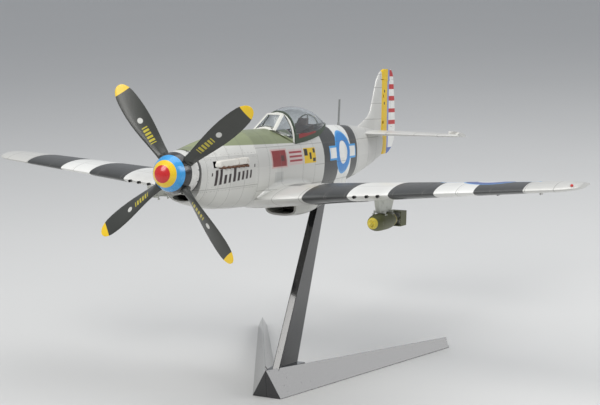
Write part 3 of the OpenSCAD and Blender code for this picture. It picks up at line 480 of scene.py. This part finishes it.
def glass_clear():
    g = Graph("clear_plastic", rough=0.03)
    g.colour((0.93, 0.96, 0.97))
    g.bsdf.inputs["Transmission Weight"].default_value = 1.0
    g.bsdf.inputs["IOR"].default_value = 1.42
    g.roughness(0.015 + 0.03 * g.noise(300, 3))
    g.bump(g.noise(60, 1), 0.00006, 0.15)
    return g.mat


def stand_gloss():
    g = Graph("stand_gloss", rough=0.10, spec=0.6, coat=0.6, coat_rough=0.04)
    cloud = g.noise(30, 4, 0.6, (1, 1, 1), 15)
    dust = g.above(g.noise(900, 2, 0.5, (1, 1, 1), 17), 0.70, 0.05)
    g.colour(g.mix(dust * 0.12, (0.008, 0.008, 0.009), (0.16, 0.15, 0.14)))
    g.roughness(0.08 + 0.07 * cloud + 0.25 * dust)
    g.bump(g.noise(24, 2) * 0.8 + g.noise(1400, 2) * 0.05, 0.0002, 0.12)
    return g.mat


def grille():
    g = Graph("radiator_grille", rough=0.5, metal=0.4)
    x, _, z = g.inches()
    mesh = g.either(g.above(g.op('SINE', x * 7), 0.3, 0.4), g.above(g.op('SINE', z * 7), 0.3, 0.4))
    g.colour(g.mix(mesh, (0.01, 0.01, 0.01), (0.12, 0.11, 0.10)))
    g.roughness(0.4 + 0.2 * mesh)
    g.bump(mesh, 0.0003, 0.8)
    return g.mat


def bomb_paint():
    g = Graph("bomb_paint", rough=0.5)
    _, y, _ = g.inches()
    cloud = g.noise(110, 4, 0.6, (1, 1, 1), 19)
    c = g.tint((0.095, 0.100, 0.036), 0.7 + 0.6 * cloud)
    c = g.mix(g.below(y, BOMB_Y + 4.4, 0.3), c, (0.62, 0.50, 0.06))
    c = g.mix(g.within(y, BOMB_Y + 35, BOMB_Y + 36.4), c, (0.62, 0.50, 0.06))
    worn = g.above(g.noise(300, 3, 0.7, (1, 1, 1), 23), 0.64, 0.05)
    c = g.mix(worn * 0.35, c, (0.20, 0.19, 0.13))
    g.colour(c)
    g.roughness(0.40 + 0.2 * cloud)
    g.bump(1 - g.near(y, (BOMB_Y + 11, BOMB_Y + 33), 0.2, 0.15) + g.noise(1200, 3) * 0.2, 0.0001, 0.5)
    return g.mat


def exhaust_metal():
    g = Graph("exhaust_metal", rough=0.55, metal=0.7)
    cloud = g.noise(700, 4, 0.65, (1, 1, 1), 25)
    c = g.mix(cloud, (0.10, 0.040, 0.022), (0.22, 0.14, 0.10))
    g.colour(c)
    g.roughness(0.45 + 0.3 * cloud)
    g.bump(cloud, 0.0001, 0.5)
    return g.mat


def panel_dials():
    """Instrument panel: a grid of plain round dials."""
    g = Graph("panel_dials", rough=0.5)
    x, _, z = g.inches()
    u = g.op('PINGPONG', x + 20, 1.9)
    v = g.op('PINGPONG', z - 5, 1.9)
    d = g.op('SQRT', (u - 0) * (u - 0) + (v - 0) * (v - 0))
    face = g.below(d, 1.15, 0.12)
    rim = g.both(g.below(d, 1.45, 0.12), g.above(d, 1.15, 0.12))
    c = g.mix(face, (0.020, 0.020, 0.022), (0.10, 0.10, 0.11))
    c = g.mix(rim, c, (0.40, 0.40, 0.38))
    g.colour(c)
    g.roughness(0.55 - 0.35 * face)
    g.bump(rim, 0.0002, 0.8)
    return g.mat


MATERIALS = {
    "body": body_paint(),
    "wing": wing_paint(),
    "tail": tail_paint(),
    "olive": olive_paint(),
    "spinner": spinner_paint(),
    "blade": blade_paint(),
    "canopy_frame": canopy_frame_paint(),
    "screen_frame": screen_frame_paint(),
    "glass": glass_clear(),
    "stand": stand_gloss(),
    "grille": grille(),
    "bomb": bomb_paint(),
    "exhaust": exhaust_metal(),
    "dials": panel_dials(),
    "shroud": mottled("shroud_paint", (0.62, 0.60, 0.55), 0.45, 0.15, 150, 0.25, second=(0.30, 0.24, 0.19)),
    "cockpit_green": mottled("cockpit_green", (0.060, 0.085, 0.030), 0.55, scale=200,
                             second=(0.12, 0.13, 0.08)),
    "cockpit_black": mottled("cockpit_black", (0.016, 0.016, 0.017), 0.5, scale=200,
                             second=(0.06, 0.06, 0.06)),
    "leather": mottled("headrest_leather", (0.050, 0.030, 0.018), 0.55, scale=260, grain=2600, depth=0.0002),
    "webbing": mottled("belt_webbing", (0.42, 0.38, 0.27), 0.8, scale=400, grain=5200, depth=0.0002),
    "engine": mottled("engine_grey", (0.12, 0.125, 0.125), 0.5, 0.2, second=(0.05, 0.05, 0.05)),
    "brass": mottled("bush_brass", (0.55, 0.38, 0.14), 0.35, 1.0, 300, 0.3),
    "steel": mottled("bright_steel", (0.55, 0.55, 0.54), 0.28, 1.0, 300, 0.25, grain=2600),
    "dark_metal": mottled("dark_metal", (0.055, 0.056, 0.058), 0.42, 0.4, 200, 0.4),
    "mast": mottled("mast_grey", (0.20, 0.21, 0.205), 0.5, 0.1, 300, 0.3),
    "pylon": mottled("pylon_grey", (0.56, 0.57, 0.52), 0.42, 0.2, 130, 0.25, second=(0.36, 0.37, 0.32)),
    "gun": mottled("gun_metal", (0.045, 0.043, 0.042), 0.4, 0.7, 300, 0.4),
    "red_lamp": mottled("red_lamp", (0.55, 0.02, 0.015), 0.15, 0, 200, 0.2, coat=0.8),
    "green_lamp": mottled("green_lamp", (0.02, 0.30, 0.09), 0.15, 0, 200, 0.2, coat=0.8),
}

NODE_MATERIALS = {
    "body": ("fuselage_left", "fuselage_right", "nose_ring", "cowl_left", "cowl_right",
             "cowl_bottom", "scoop", "scoop_exit_door"),
    "olive": ("cowl_top",),
    "wing": ("wing_upper_left", "wing_upper_right", "wing_lower", "gear_doors",
             "aileron_left", "aileron_right", "flap_left", "flap_right"),
    "tail": ("fin", "rudder", "tailplane", "elevator_left", "elevator_right"),
    "shroud": ("exhaust_shrouds",),
    "engine": ("engine_block", "firewall"),
    "brass": ("shaft_bush",),
    "grille": ("radiator_core",),
    "cockpit_green": ("cockpit_tub", "seat"),
    "dials": ("instrument_panel",),
    "cockpit_black": ("radio_set",),
    "leather": ("headrest_armour",),
    "glass": ("windscreen_glass", "canopy_glass"),
    "screen_frame": ("windscreen_frame",),
    "canopy_frame": ("canopy_frame",),
    "mast": ("mast",),
    "gun": ("gun_barrels",),
    "red_lamp": ("nav_lights",),
    "pylon": ("pylons",),
    "bomb": ("bomb",),
    "steel": ("hinge_pins", "stand_screws"),
    "stand": ("stand_arm_left", "stand_arm_right", "stand_socket", "stand_upright"),
    "spinner": ("spinner",),
    "dark_metal": ("spinner_backplate", "propeller_hub"),
    "exhaust": ("exhaust_stubs",),
    "blade": ("blade_1", "blade_2", "blade_3", "blade_4"),
}
BEVELS = {"stand_arm_left": 0.0005, "stand_arm_right": 0.0005, "stand_socket": 0.0005,
          "stand_upright": 0.0004,
          "seat": 0.0002, "cockpit_tub": 0.0002, "radio_set": 0.0003, "engine_block": 0.0004,
          "instrument_panel": 0.0002, "headrest_armour": 0.0002, "scoop_exit_door": 0.0001}
SHARP_ANGLE = math.radians(32)


def dress_nodes():
    """Materials and smooth shading on the CAD's own nodes."""
    for key, names in NODE_MATERIALS.items():
        for name in names:
            o = NODES[name]
            o.data.materials.clear()
            o.data.materials.append(MATERIALS[key])
            for p in o.data.polygons:
                p.use_smooth = True
            weld = o.modifiers.new("weld", 'WELD')
            weld.merge_threshold = 2e-6
            if name in BEVELS:
                bevel = o.modifiers.new("bevel", 'BEVEL')
                bevel.width, bevel.segments = BEVELS[name], 3
                bevel.limit_method, bevel.angle_limit = 'ANGLE', math.radians(30)
                bevel.harden_normals = False
            else:
                split = o.modifiers.new("split", 'EDGE_SPLIT')
                split.split_angle = SHARP_ANGLE
            normals = o.modifiers.new("normals", 'WEIGHTED_NORMAL')
            normals.keep_sharp = True


# ------------------------------------------------------------------ added pieces

class Piece:
    """Collects geometry in the airframe's inches (or the row's metres) for one visual piece."""

    def __init__(self, name):
        self.name, self.bm = name, bmesh.new()

    def loft(self, rings, closed=True, caps=True):
        rows = [[self.bm.verts.new(p) for p in ring] for ring in rings]
        n = len(rows[0])
        for a, b in zip(rows, rows[1:]):
            for i in range(n if closed else n - 1):
                j = (i + 1) % n
                self.bm.faces.new((a[i], a[j], b[j], b[i]))
        if caps and closed:
            self.bm.faces.new(rows[0][::-1])
            self.bm.faces.new(rows[-1])
        return rows

    def tube(self, path, radius, n=16, flatten=1.0):
        """Round (or flattened) tube along points; radius may be one number or one for each point."""
        path = [Vector(p) for p in path]
        radii = radius if isinstance(radius, (list, tuple)) else [radius] * len(path)
        rings = []
        for i, p in enumerate(path):
            d = (path[min(i + 1, len(path) - 1)] - path[max(i - 1, 0)]).normalized()
            side = d.cross(Vector((0, 0, 1)))
            side = side.normalized() if side.length > 1e-3 else Vector((1, 0, 0))
            up = side.cross(d).normalized()
            rings.append([p + side * math.cos(t) * radii[i] + up * math.sin(t) * radii[i] * flatten
                          for t in (2 * math.pi * k / n for k in range(n))])
        self.loft(rings)

    def turned(self, centre, axis, profile, n=24):
        """Body of revolution; profile is [(along, radius)...]."""
        axis = Vector(axis).normalized()
        side = axis.orthogonal().normalized()
        up = axis.cross(side)
        centre = Vector(centre)
        self.loft([[centre + axis * a + (side * math.cos(t) + up * math.sin(t)) * r
                    for t in (2 * math.pi * k / n for k in range(n))] for a, r in profile])

    def block(self, lo, hi, turn=None, bevel=0.0):
        """Box with rounded edges."""
        made = bmesh.ops.create_cube(self.bm, size=1.0)["verts"]
        lo, hi = Vector(lo), Vector(hi)
        for v in made:
            v.co = Vector([lo[i] + (v.co[i] + 0.5) * (hi[i] - lo[i]) for i in range(3)])
        if bevel:
            edges = {e for v in made for e in v.link_edges}
            out = bmesh.ops.bevel(self.bm, geom=list(edges), offset=bevel, segments=2, affect='EDGES')
            made = list({v for f in out["faces"] for v in f.verts} | {v for v in made if v.is_valid})
        if turn:
            bmesh.ops.rotate(self.bm, cent=(lo + hi) / 2, matrix=turn, verts=made)

    def mirror_too(self):
        """Adds the other side's copy."""
        geom = self.bm.verts[:] + self.bm.edges[:] + self.bm.faces[:]
        new = bmesh.ops.duplicate(self.bm, geom=geom)["geom"]
        for v in new:
            if isinstance(v, bmesh.types.BMVert):
                v.co.x = -v.co.x
        bmesh.ops.reverse_faces(self.bm, faces=[f for f in new if isinstance(f, bmesh.types.BMFace)])

    def make(self, material, body, inches=True, sharp=SHARP_ANGLE, replaces=()):
        bmesh.ops.recalc_face_normals(self.bm, faces=self.bm.faces)
        mesh = bpy.data.meshes.new(self.name)
        self.bm.to_mesh(mesh)
        self.bm.free()
        if inches:
            mesh.transform(TO_ROW)
        for p in mesh.polygons:
            p.use_smooth = True
        mesh.materials.append(MATERIALS[material])
        o = bpy.data.objects.new(self.name, mesh)
        bpy.context.scene.collection.objects.link(o)
        split = o.modifiers.new("split", 'EDGE_SPLIT')
        split.split_angle = sharp
        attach(o, body)
        if replaces:
            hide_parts(*replaces)
        return o


def exhaust_stacks():
    """Six flattened stubs a side, each a thin-walled tube with an open, fanned mouth."""
    p = Piece("exhaust_stacks")
    for i in range(6):
        y = 46.4 + 6.1 * i
        x = 14.2 + 0.1 * i
        rings = []
        for t, half, thin in ((0, 1.2, 1.1), (0.35, 1.25, 1.05), (0.7, 1.3, 0.95), (1.0, 1.35, 0.85)):
            c = Vector((x + 3.5 * t, y + 3.4 * t, 2.6 - 0.5 * t * t))
            rings.append((c, half, thin))
        d = Vector((0.72, 0.69, 0)).normalized()
        across = Vector((-0.69, 0.72, 0))
        def ring(c, a, b):
            return [c + across * a * math.cos(k) + Vector((0, 0, 1)) * b * math.sin(k)
                    for k in (2 * math.pi * j / 18 for j in range(18))]
        outer = [ring(*r) for r in rings]
        tip, half, thin = rings[-1]
        inner = [ring(tip, half - 0.3, thin - 0.3), ring(tip - d * 1.8, half - 0.35, thin - 0.35)]
        p.loft(outer + inner)
    p.mirror_too()
    return p.make("exhaust", "airframe", replaces=("exhaust_stubs",))


def body_half_width(y, z, rows):
    """Half width of the body at a station and height."""
    for a, b in zip(rows, rows[1:]):
        if a[0] <= y <= b[0]:
            t = (y - a[0]) / (b[0] - a[0])
            r = [a[i] + (b[i] - a[i]) * t for i in range(5)]
            break
    h = (r[1] - r[4]) if z >= r[4] else (r[4] - r[2])
    n = 2.05 if z >= r[4] else 2.35
    q = min(1.0, abs(z - r[4]) / h)
    return r[3] * (1 - q ** n) ** (1 / n)


BODY_ROWS = ((80, 23.2, -27, 16.8, -3), (100, 23.9, -27.6, 17.2, -3), (125, 24.2, -28, 17.5, -3),
             (175, 24.2, -28, 17.2, -3), (205, 24.2, -27, 16.4, -2.5), (235, 24.2, -24.6, 14.8, -1.5))


def wing_top(x, y):
    """Height of the wing's upper face near the root."""
    le = 110.5 + 0.0625 * x
    te = 214.5 - 0.1884 * x
    ease = max(0.0, min(1.0, (62 - x) / 44))
    front = le - 10.5 * ease * ease * (3 - 2 * ease)
    s = max(0.0, min(1.0, (y - front) / (te - front)))
    w = s ** 1.24
    half = 5 * (0.2969 * math.sqrt(w) - 0.126 * w - 0.3516 * w * w + 0.2843 * w ** 3 - 0.1036 * w ** 4)
    c = te - le
    d = (y - le) / c
    camber = 0.05 * max(0, d) * (1 - min(1, max(0, d))) * c
    twist = math.radians(1 - 1.85 * x / 215)
    ratio = 0.15 + (0.115 - 0.15) * x / 215
    return -23.5 + 0.0848 * x + camber - (y - le) * math.tan(twist) + ratio * c * half + 0.2 * s


def root_fairings():
    """Concave fairings that blend the wing's upper face into the body's side."""
    p = Piece("root_fairings")
    rings = []
    for i in range(25):
        t = i / 24
        y = 101.5 + 108 * t
        if t < 0.8:
            size = 0.25 + 4.6 * math.sin(math.pi * min(1, t * 1.15 + 0.02)) ** 0.6
        else:
            size = 0.25 + 3.0 * (1 - t) / 0.2
        size = max(0.25, min(size, 4.2 if y < 188 else 3.2))
        z0 = wing_top(17, y)
        x_wall = body_half_width(y, z0 + size, BODY_ROWS)
        x_foot = body_half_width(y, z0, BODY_ROWS)
        ring = [Vector((x_foot - 1.0, y, z0 - 0.8)), Vector((x_wall - 0.5, y, z0 + size + 0.1))]
        for k in range(9):
            a = math.pi / 2 * k / 8
            x = x_wall + 0.06 + size * (1 - math.cos(a))
            z = wing_top(max(x, 9), y) + 0.06 + size * (1 - math.sin(a))
            ring.append(Vector((x, y, z)))
        ring.append(Vector((x_wall + size, y, z0 - 0.8)))
        rings.append(ring)
    p.loft(rings)
    p.mirror_too()
    return p.make("body", "airframe", sharp=math.radians(50))


def cockpit_pieces():
    """Stick, sight, side consoles, levers, belts and the braces behind the seat."""
    p = Piece("cockpit_controls")
    p.tube([(0, 173, -6.6), (0, 174, -2), (0, 172.5, 2.5), (0, 173.4, 6.2)], [0.8, 0.5, 0.45, 0.4])
    p.tube([(0, 173.4, 5.6), (0, 173.6, 9.2)], [0.75, 0.6])
    p.block((7.6, 165, 3.4), (10.2, 188, 6.4), bevel=0.3)
    p.block((-10.2, 165, 3.4), (-7.6, 188, 6.4), bevel=0.3)
    for y in (169, 173, 177):
        p.tube([(8.4, y, 6), (8.2, y - 1.0, 9.4)], 0.25, 10)
        p.turned((8.2, y - 1.0, 9.3), (0, 0, 1), [(0, 0.1), (0.2, 0.55), (0.8, 0.55), (1.1, 0.1)], 14)
    for y in (168, 171, 174, 180, 184):
        p.turned((-8.8, y, 6.3), (0, 0, 1), [(0, 0.9), (0.35, 0.9), (0.5, 0.6)], 16)
    p.make("cockpit_black", "airframe")

    p = Piece("gun_sight")
    p.block((-1.8, 155.4, 16.8), (1.8, 160.2, 18.8), bevel=0.35)
    p.turned((0, 157.4, 18.6), (0, 0, 1), [(0, 1.3), (1.4, 1.3), (1.6, 1.1)], 20)
    p.make("cockpit_black", "airframe")

    p = Piece("glare_shield")
    rings = []
    for y, half, rise in ((154.6, 11.0, 5.6), (157, 11.6, 6.2), (160.6, 11.4, 6.4)):
        rings.append([Vector((half * math.sin(a), y, 12.4 + rise * math.cos(a)))
                      for a in (math.radians(d) for d in range(-90, 91, 12))]
                     + [Vector((half * 0.9 * math.sin(a), y, 12.0 + (rise - 1.0) * math.cos(a)))
                        for a in (math.radians(d) for d in range(90, -91, -12))])
    p.loft(rings)
    p.make("cockpit_black", "airframe")

    p = Piece("seat_belts")
    for side in (-1, 1):
        path = [(side * 2.6, 196.6, 14), (side * 2.8, 194.2, 16.6), (side * 3.2, 192.4, 10),
                (side * 3.4, 190.8, 3), (side * 3.6, 187, 0.6), (side * 3.0, 183.2, 0.4)]
        for a, b in zip(path, path[1:]):
            a, b = Vector(a), Vector(b)
            d = (b - a).normalized()
            flat = Vector((1, 0, 0)) * 0.9
            thick = d.cross(flat).normalized() * 0.14
            p.loft([[a + flat + thick, a - flat + thick, a - flat - thick, a + flat - thick],
                    [b + flat + thick, b - flat + thick, b - flat - thick, b + flat - thick]])
        p.block((side * 3.3 - 1.2, 185.6, 0.7), (side * 3.3 + 1.2, 187.6, 1.3), bevel=0.15)
    p.make("webbing", "airframe")

    p = Piece("seat_cushion")
    rings = []
    for i in range(9):
        t = i / 8
        y = 181.6 + 11.2 * t
        bulge = math.sin(math.pi * t) ** 0.5
        ring = []
        for k in range(20):
            a = 2 * math.pi * k / 20
            cx, cz = math.cos(a), math.sin(a)
            ring.append(Vector((5.2 * math.copysign(abs(cx) ** 0.5, cx), y,
                                -1.6 + (0.5 + 0.6 * bulge) * math.copysign(abs(cz) ** 0.6, cz))))
        rings.append(ring)
    p.loft(rings)
    p.make("webbing", "airframe")

    p = Piece("canopy_brace")
    hoop = []
    for k in range(15):
        a = math.radians(-70 + 10 * k)
        hoop.append((9.4 * math.sin(a), 207.5, 19.6 + 13.2 * math.cos(a)))
    p.tube(hoop, 0.55, 10)
    p.tube([(-8.6, 207.5, 24), (0, 207.0, 25.4), (8.6, 207.5, 24)], 0.45, 10)
    p.tube([(0, 207.2, 25.4), (0, 207.5, 32.4)], 0.4, 10)
    p.make("cockpit_green", "canopy")

    p = Piece("panel_bezels")
    for x, z in ((-7, 13), (-3.4, 13.2), (0, 13.4), (3.4, 13.2), (7, 13), (-5.4, 9.4),
                 (-1.8, 9.4), (1.8, 9.4), (5.4, 9.4), (-3.4, 6), (0, 6), (3.4, 6)):
        p.turned((x, 160.1, z), (0, 1, 0), [(0, 1.35), (0.35, 1.35), (0.35, 1.05), (0.12, 1.05)], 18)
    p.make("cockpit_black", "airframe")

    p = Piece("radio_details")
    for x in (-5, -2.4, 2.4, 5):
        p.turned((x, 206.8, 21.4), (0, -1, 0), [(0, 0.7), (0.4, 0.7), (0.6, 0.4)], 14)
    for x in (-5.6, 0, 5.6):
        p.block((x - 0.5, 206.2, 23.9), (x + 0.5, 215, 24.2), bevel=0.1)
    p.tube([(-2.4, 218, 22), (-5.4, 216.4, 21.4), (-5.8, 213, 22.6)], 0.3, 10)
    p.make("cockpit_black", "airframe")


def bomb_details():
    p = Piece("bomb_fittings")
    c = Vector((PYLON_X, BOMB_Y, BOMB_Z))
    p.turned(c, (0, -1, 0), [(-1.2, 1.25), (-0.6, 1.5), (0.4, 1.2), (1.2, 0.9), (1.6, 0.4)], 20)
    for y in (20, 28):
        p.tube([c + Vector((0, y - 1.3, 5.6)), c + Vector((0, y - 0.9, 6.3)), c + Vector((0, y + 0.9, 6.3)),
                c + Vector((0, y + 1.3, 5.6))], 0.3, 10)
    p.turned(c + Vector((0, 51, 0)), (0, 1, 0), [(-0.5, 1.5), (1.0, 1.2), (2.2, 1.0), (2.6, 0.5)], 18)
    p.make("bomb", "airframe")

    p = Piece("sway_braces")
    for side in (1, -1):
        for y in (136.8, 149.8):
            for s in (-1, 1):
                x = side * PYLON_X
                p.tube([(x + s * 3.7, y, -28.6), (x + s * 4.2, y, -29.9)], 0.42, 12)
                p.turned((x + s * 4.2, y, -29.6), (s * 0.55, 0, -1),
                         [(0, 0.4), (0.4, 1.0), (0.8, 1.0), (0.9, 0.6)], 16)
                p.turned((x + s * 3.7, y, -27.8), (0, 0, 1), [(-0.5, 0.8), (0.1, 0.8), (0.25, 0.6)], 6)
    p.make("pylon", "airframe")


def fasteners():
    """Turn-fasteners along the engine covers' seams."""
    p = Piece("cover_fasteners")
    rows = ((32, 15.4, -21, 14.4, -1), (45, 18.2, -23.6, 15.2, -2), (60, 20.8, -25.8, 16, -3),
            (80, 23.2, -27, 16.8, -3), (100, 23.9, -27.6, 17.2, -3))
    for z in (10.4, 7.6, -9.6, -12.4):
        for i in range(15):
            y = 34.5 + 4.25 * i
            if z == 7.6 and 39 < y < 84:
                continue
            x = body_half_width(y, z, rows)
            out = Vector((1, 0, (z + 2) / 22)).normalized()
            p.turned(Vector((x, y, z)) - out * 0.12, out, [(0, 0.42), (0.2, 0.42), (0.26, 0.3)], 10)
    p.mirror_too()
    p.make("body", "airframe")


def small_fittings():
    p = Piece("mast_foot")
    p.turned((0, 266, 23.2), (0, 0.05, 1), [(-0.6, 1.9), (0.3, 1.8), (0.9, 1.1), (2.6, 0.95), (2.8, 0.8)], 20)
    p.make("mast", "airframe")

    p = Piece("wing_tip_lamps")
    p.turned((218, 130.6, -2.9), (0.5, -0.7, 0.3), [(-0.6, 1.0), (0.2, 0.9), (0.7, 0.6), (0.95, 0.2)], 18)
    p.make("red_lamp", "airframe")

    p = Piece("spinner_screws")
    for a in range(12):
        t = math.radians(30 * a + 9)
        from_blade = 30 * a + 9 - math.degrees(BLADE_REST)
        if min(abs(((from_blade - 90 * k + 180) % 360) - 180) for k in range(4)) < 14:
            continue
        n = Vector((math.cos(t), -0.12, math.sin(t))).normalized()
        p.turned(Vector((SPINNER_RIM * math.cos(t), 22.4, SPINNER_RIM * math.sin(t))), n,
                 [(-0.1, 0.45), (0.08, 0.42), (0.1, 0.25)], 10)
    p.make("dark_metal", "propeller")

    p = Piece("tail_lamp")
    p.turned((0, 386.2, 14), (0, 1, 0), [(-0.6, 0.5), (0.1, 0.5), (0.5, 0.2)], 14)
    p.make("glass", "rudder_body")

    p = Piece("aileron_hinge_covers")
    for x in (132, 160, 190):
        z = -23.5 + 0.0848 * x
        y = 110.5 + 0.0625 * x + 0.775 * (104 - 0.2509 * x)
        p.block((x - 0.5, y - 5, z - 5.2), (x + 0.5, y + 0.6, z - 2.6), bevel=0.2)
    p.mirror_too()
    p.make("wing", "airframe")


dress_nodes()
exhaust_stacks()
root_fairings()
cockpit_pieces()
bomb_details()
fasteners()
small_fittings()

# ------------------------------------------------------------------ floor, light and camera

FLOOR_SIZE = 40.0
WORLD_COLOUR, WORLD_STRENGTH = (0.80, 0.83, 0.88, 1), 0.55
CAMERA_AZIMUTH, CAMERA_ELEVATION, CAMERA_ROLL = 25.524, 11.698, -1.693
CAMERA_DISTANCE, CAMERA_AIM = 0.74, Vector((0.017102, -0.006633, 0.110715))
LENS = 79.967


def floor():
    g = Graph("floor_paint", rough=0.55)
    cloud = g.noise(3.0, 4, 0.6)
    g.colour(g.tint((0.62, 0.62, 0.61), 0.97 + 0.06 * cloud))
    g.roughness(0.50 + 0.1 * cloud)
    g.bump(g.noise(900, 3), 0.0001, 0.2)
    bm = bmesh.new()
    bmesh.ops.create_grid(bm, x_segments=1, y_segments=1, size=FLOOR_SIZE / 2)
    mesh = bpy.data.meshes.new("floor")
    bm.to_mesh(mesh)
    bm.free()
    mesh.materials.append(g.mat)
    o = bpy.data.objects.new("floor", mesh)
    o.location.z = -0.0002
    bpy.context.scene.collection.objects.link(o)


def area_light(name, place, target, size, power, tone=(1, 1, 1)):
    data = bpy.data.lights.new(name, 'AREA')
    data.shape, data.size, data.energy, data.color = 'SQUARE', size, power, tone
    o = bpy.data.objects.new(name, data)
    o.location = place
    o.rotation_euler = (Vector(target) - Vector(place)).to_track_quat('-Z', 'Y').to_euler()
    bpy.context.scene.collection.objects.link(o)


def lighting():
    world = bpy.data.worlds.new("studio")
    world.use_nodes = True
    world.node_tree.nodes["Background"].inputs[0].default_value = WORLD_COLOUR
    world.node_tree.nodes["Background"].inputs[1].default_value = WORLD_STRENGTH
    bpy.context.scene.world = world
    area_light("key", (-0.25, -0.80, 1.05), (0, 0, 0.13), 0.75, 11, (1.0, 0.985, 0.96))
    area_light("side", (1.15, 0.28, 0.72), (0, 0, 0.05), 0.7, 7)
    area_light("top", (0.10, 0.30, 1.20), (0, 0, 0.10), 0.9, 4.5)


def camera():
    a, e = math.radians(CAMERA_AZIMUTH), math.radians(CAMERA_ELEVATION)
    back = Vector((math.sin(a) * math.cos(e), -math.cos(a) * math.cos(e), math.sin(e)))
    data = bpy.data.cameras.new("camera")
    data.lens, data.sensor_width, data.clip_start = LENS, 36.0, 0.01
    o = bpy.data.objects.new("camera", data)
    turn = back.to_track_quat('Z', 'Y').to_matrix() @ Matrix.Rotation(math.radians(CAMERA_ROLL), 3, 'Z')
    o.matrix_world = Matrix.Translation(CAMERA_AIM + back * CAMERA_DISTANCE) @ turn.to_4x4()
    bpy.context.scene.collection.objects.link(o)
    bpy.context.scene.camera = o


floor()
lighting()
camera()
bpy.context.scene.view_settings.view_transform = 'Standard'
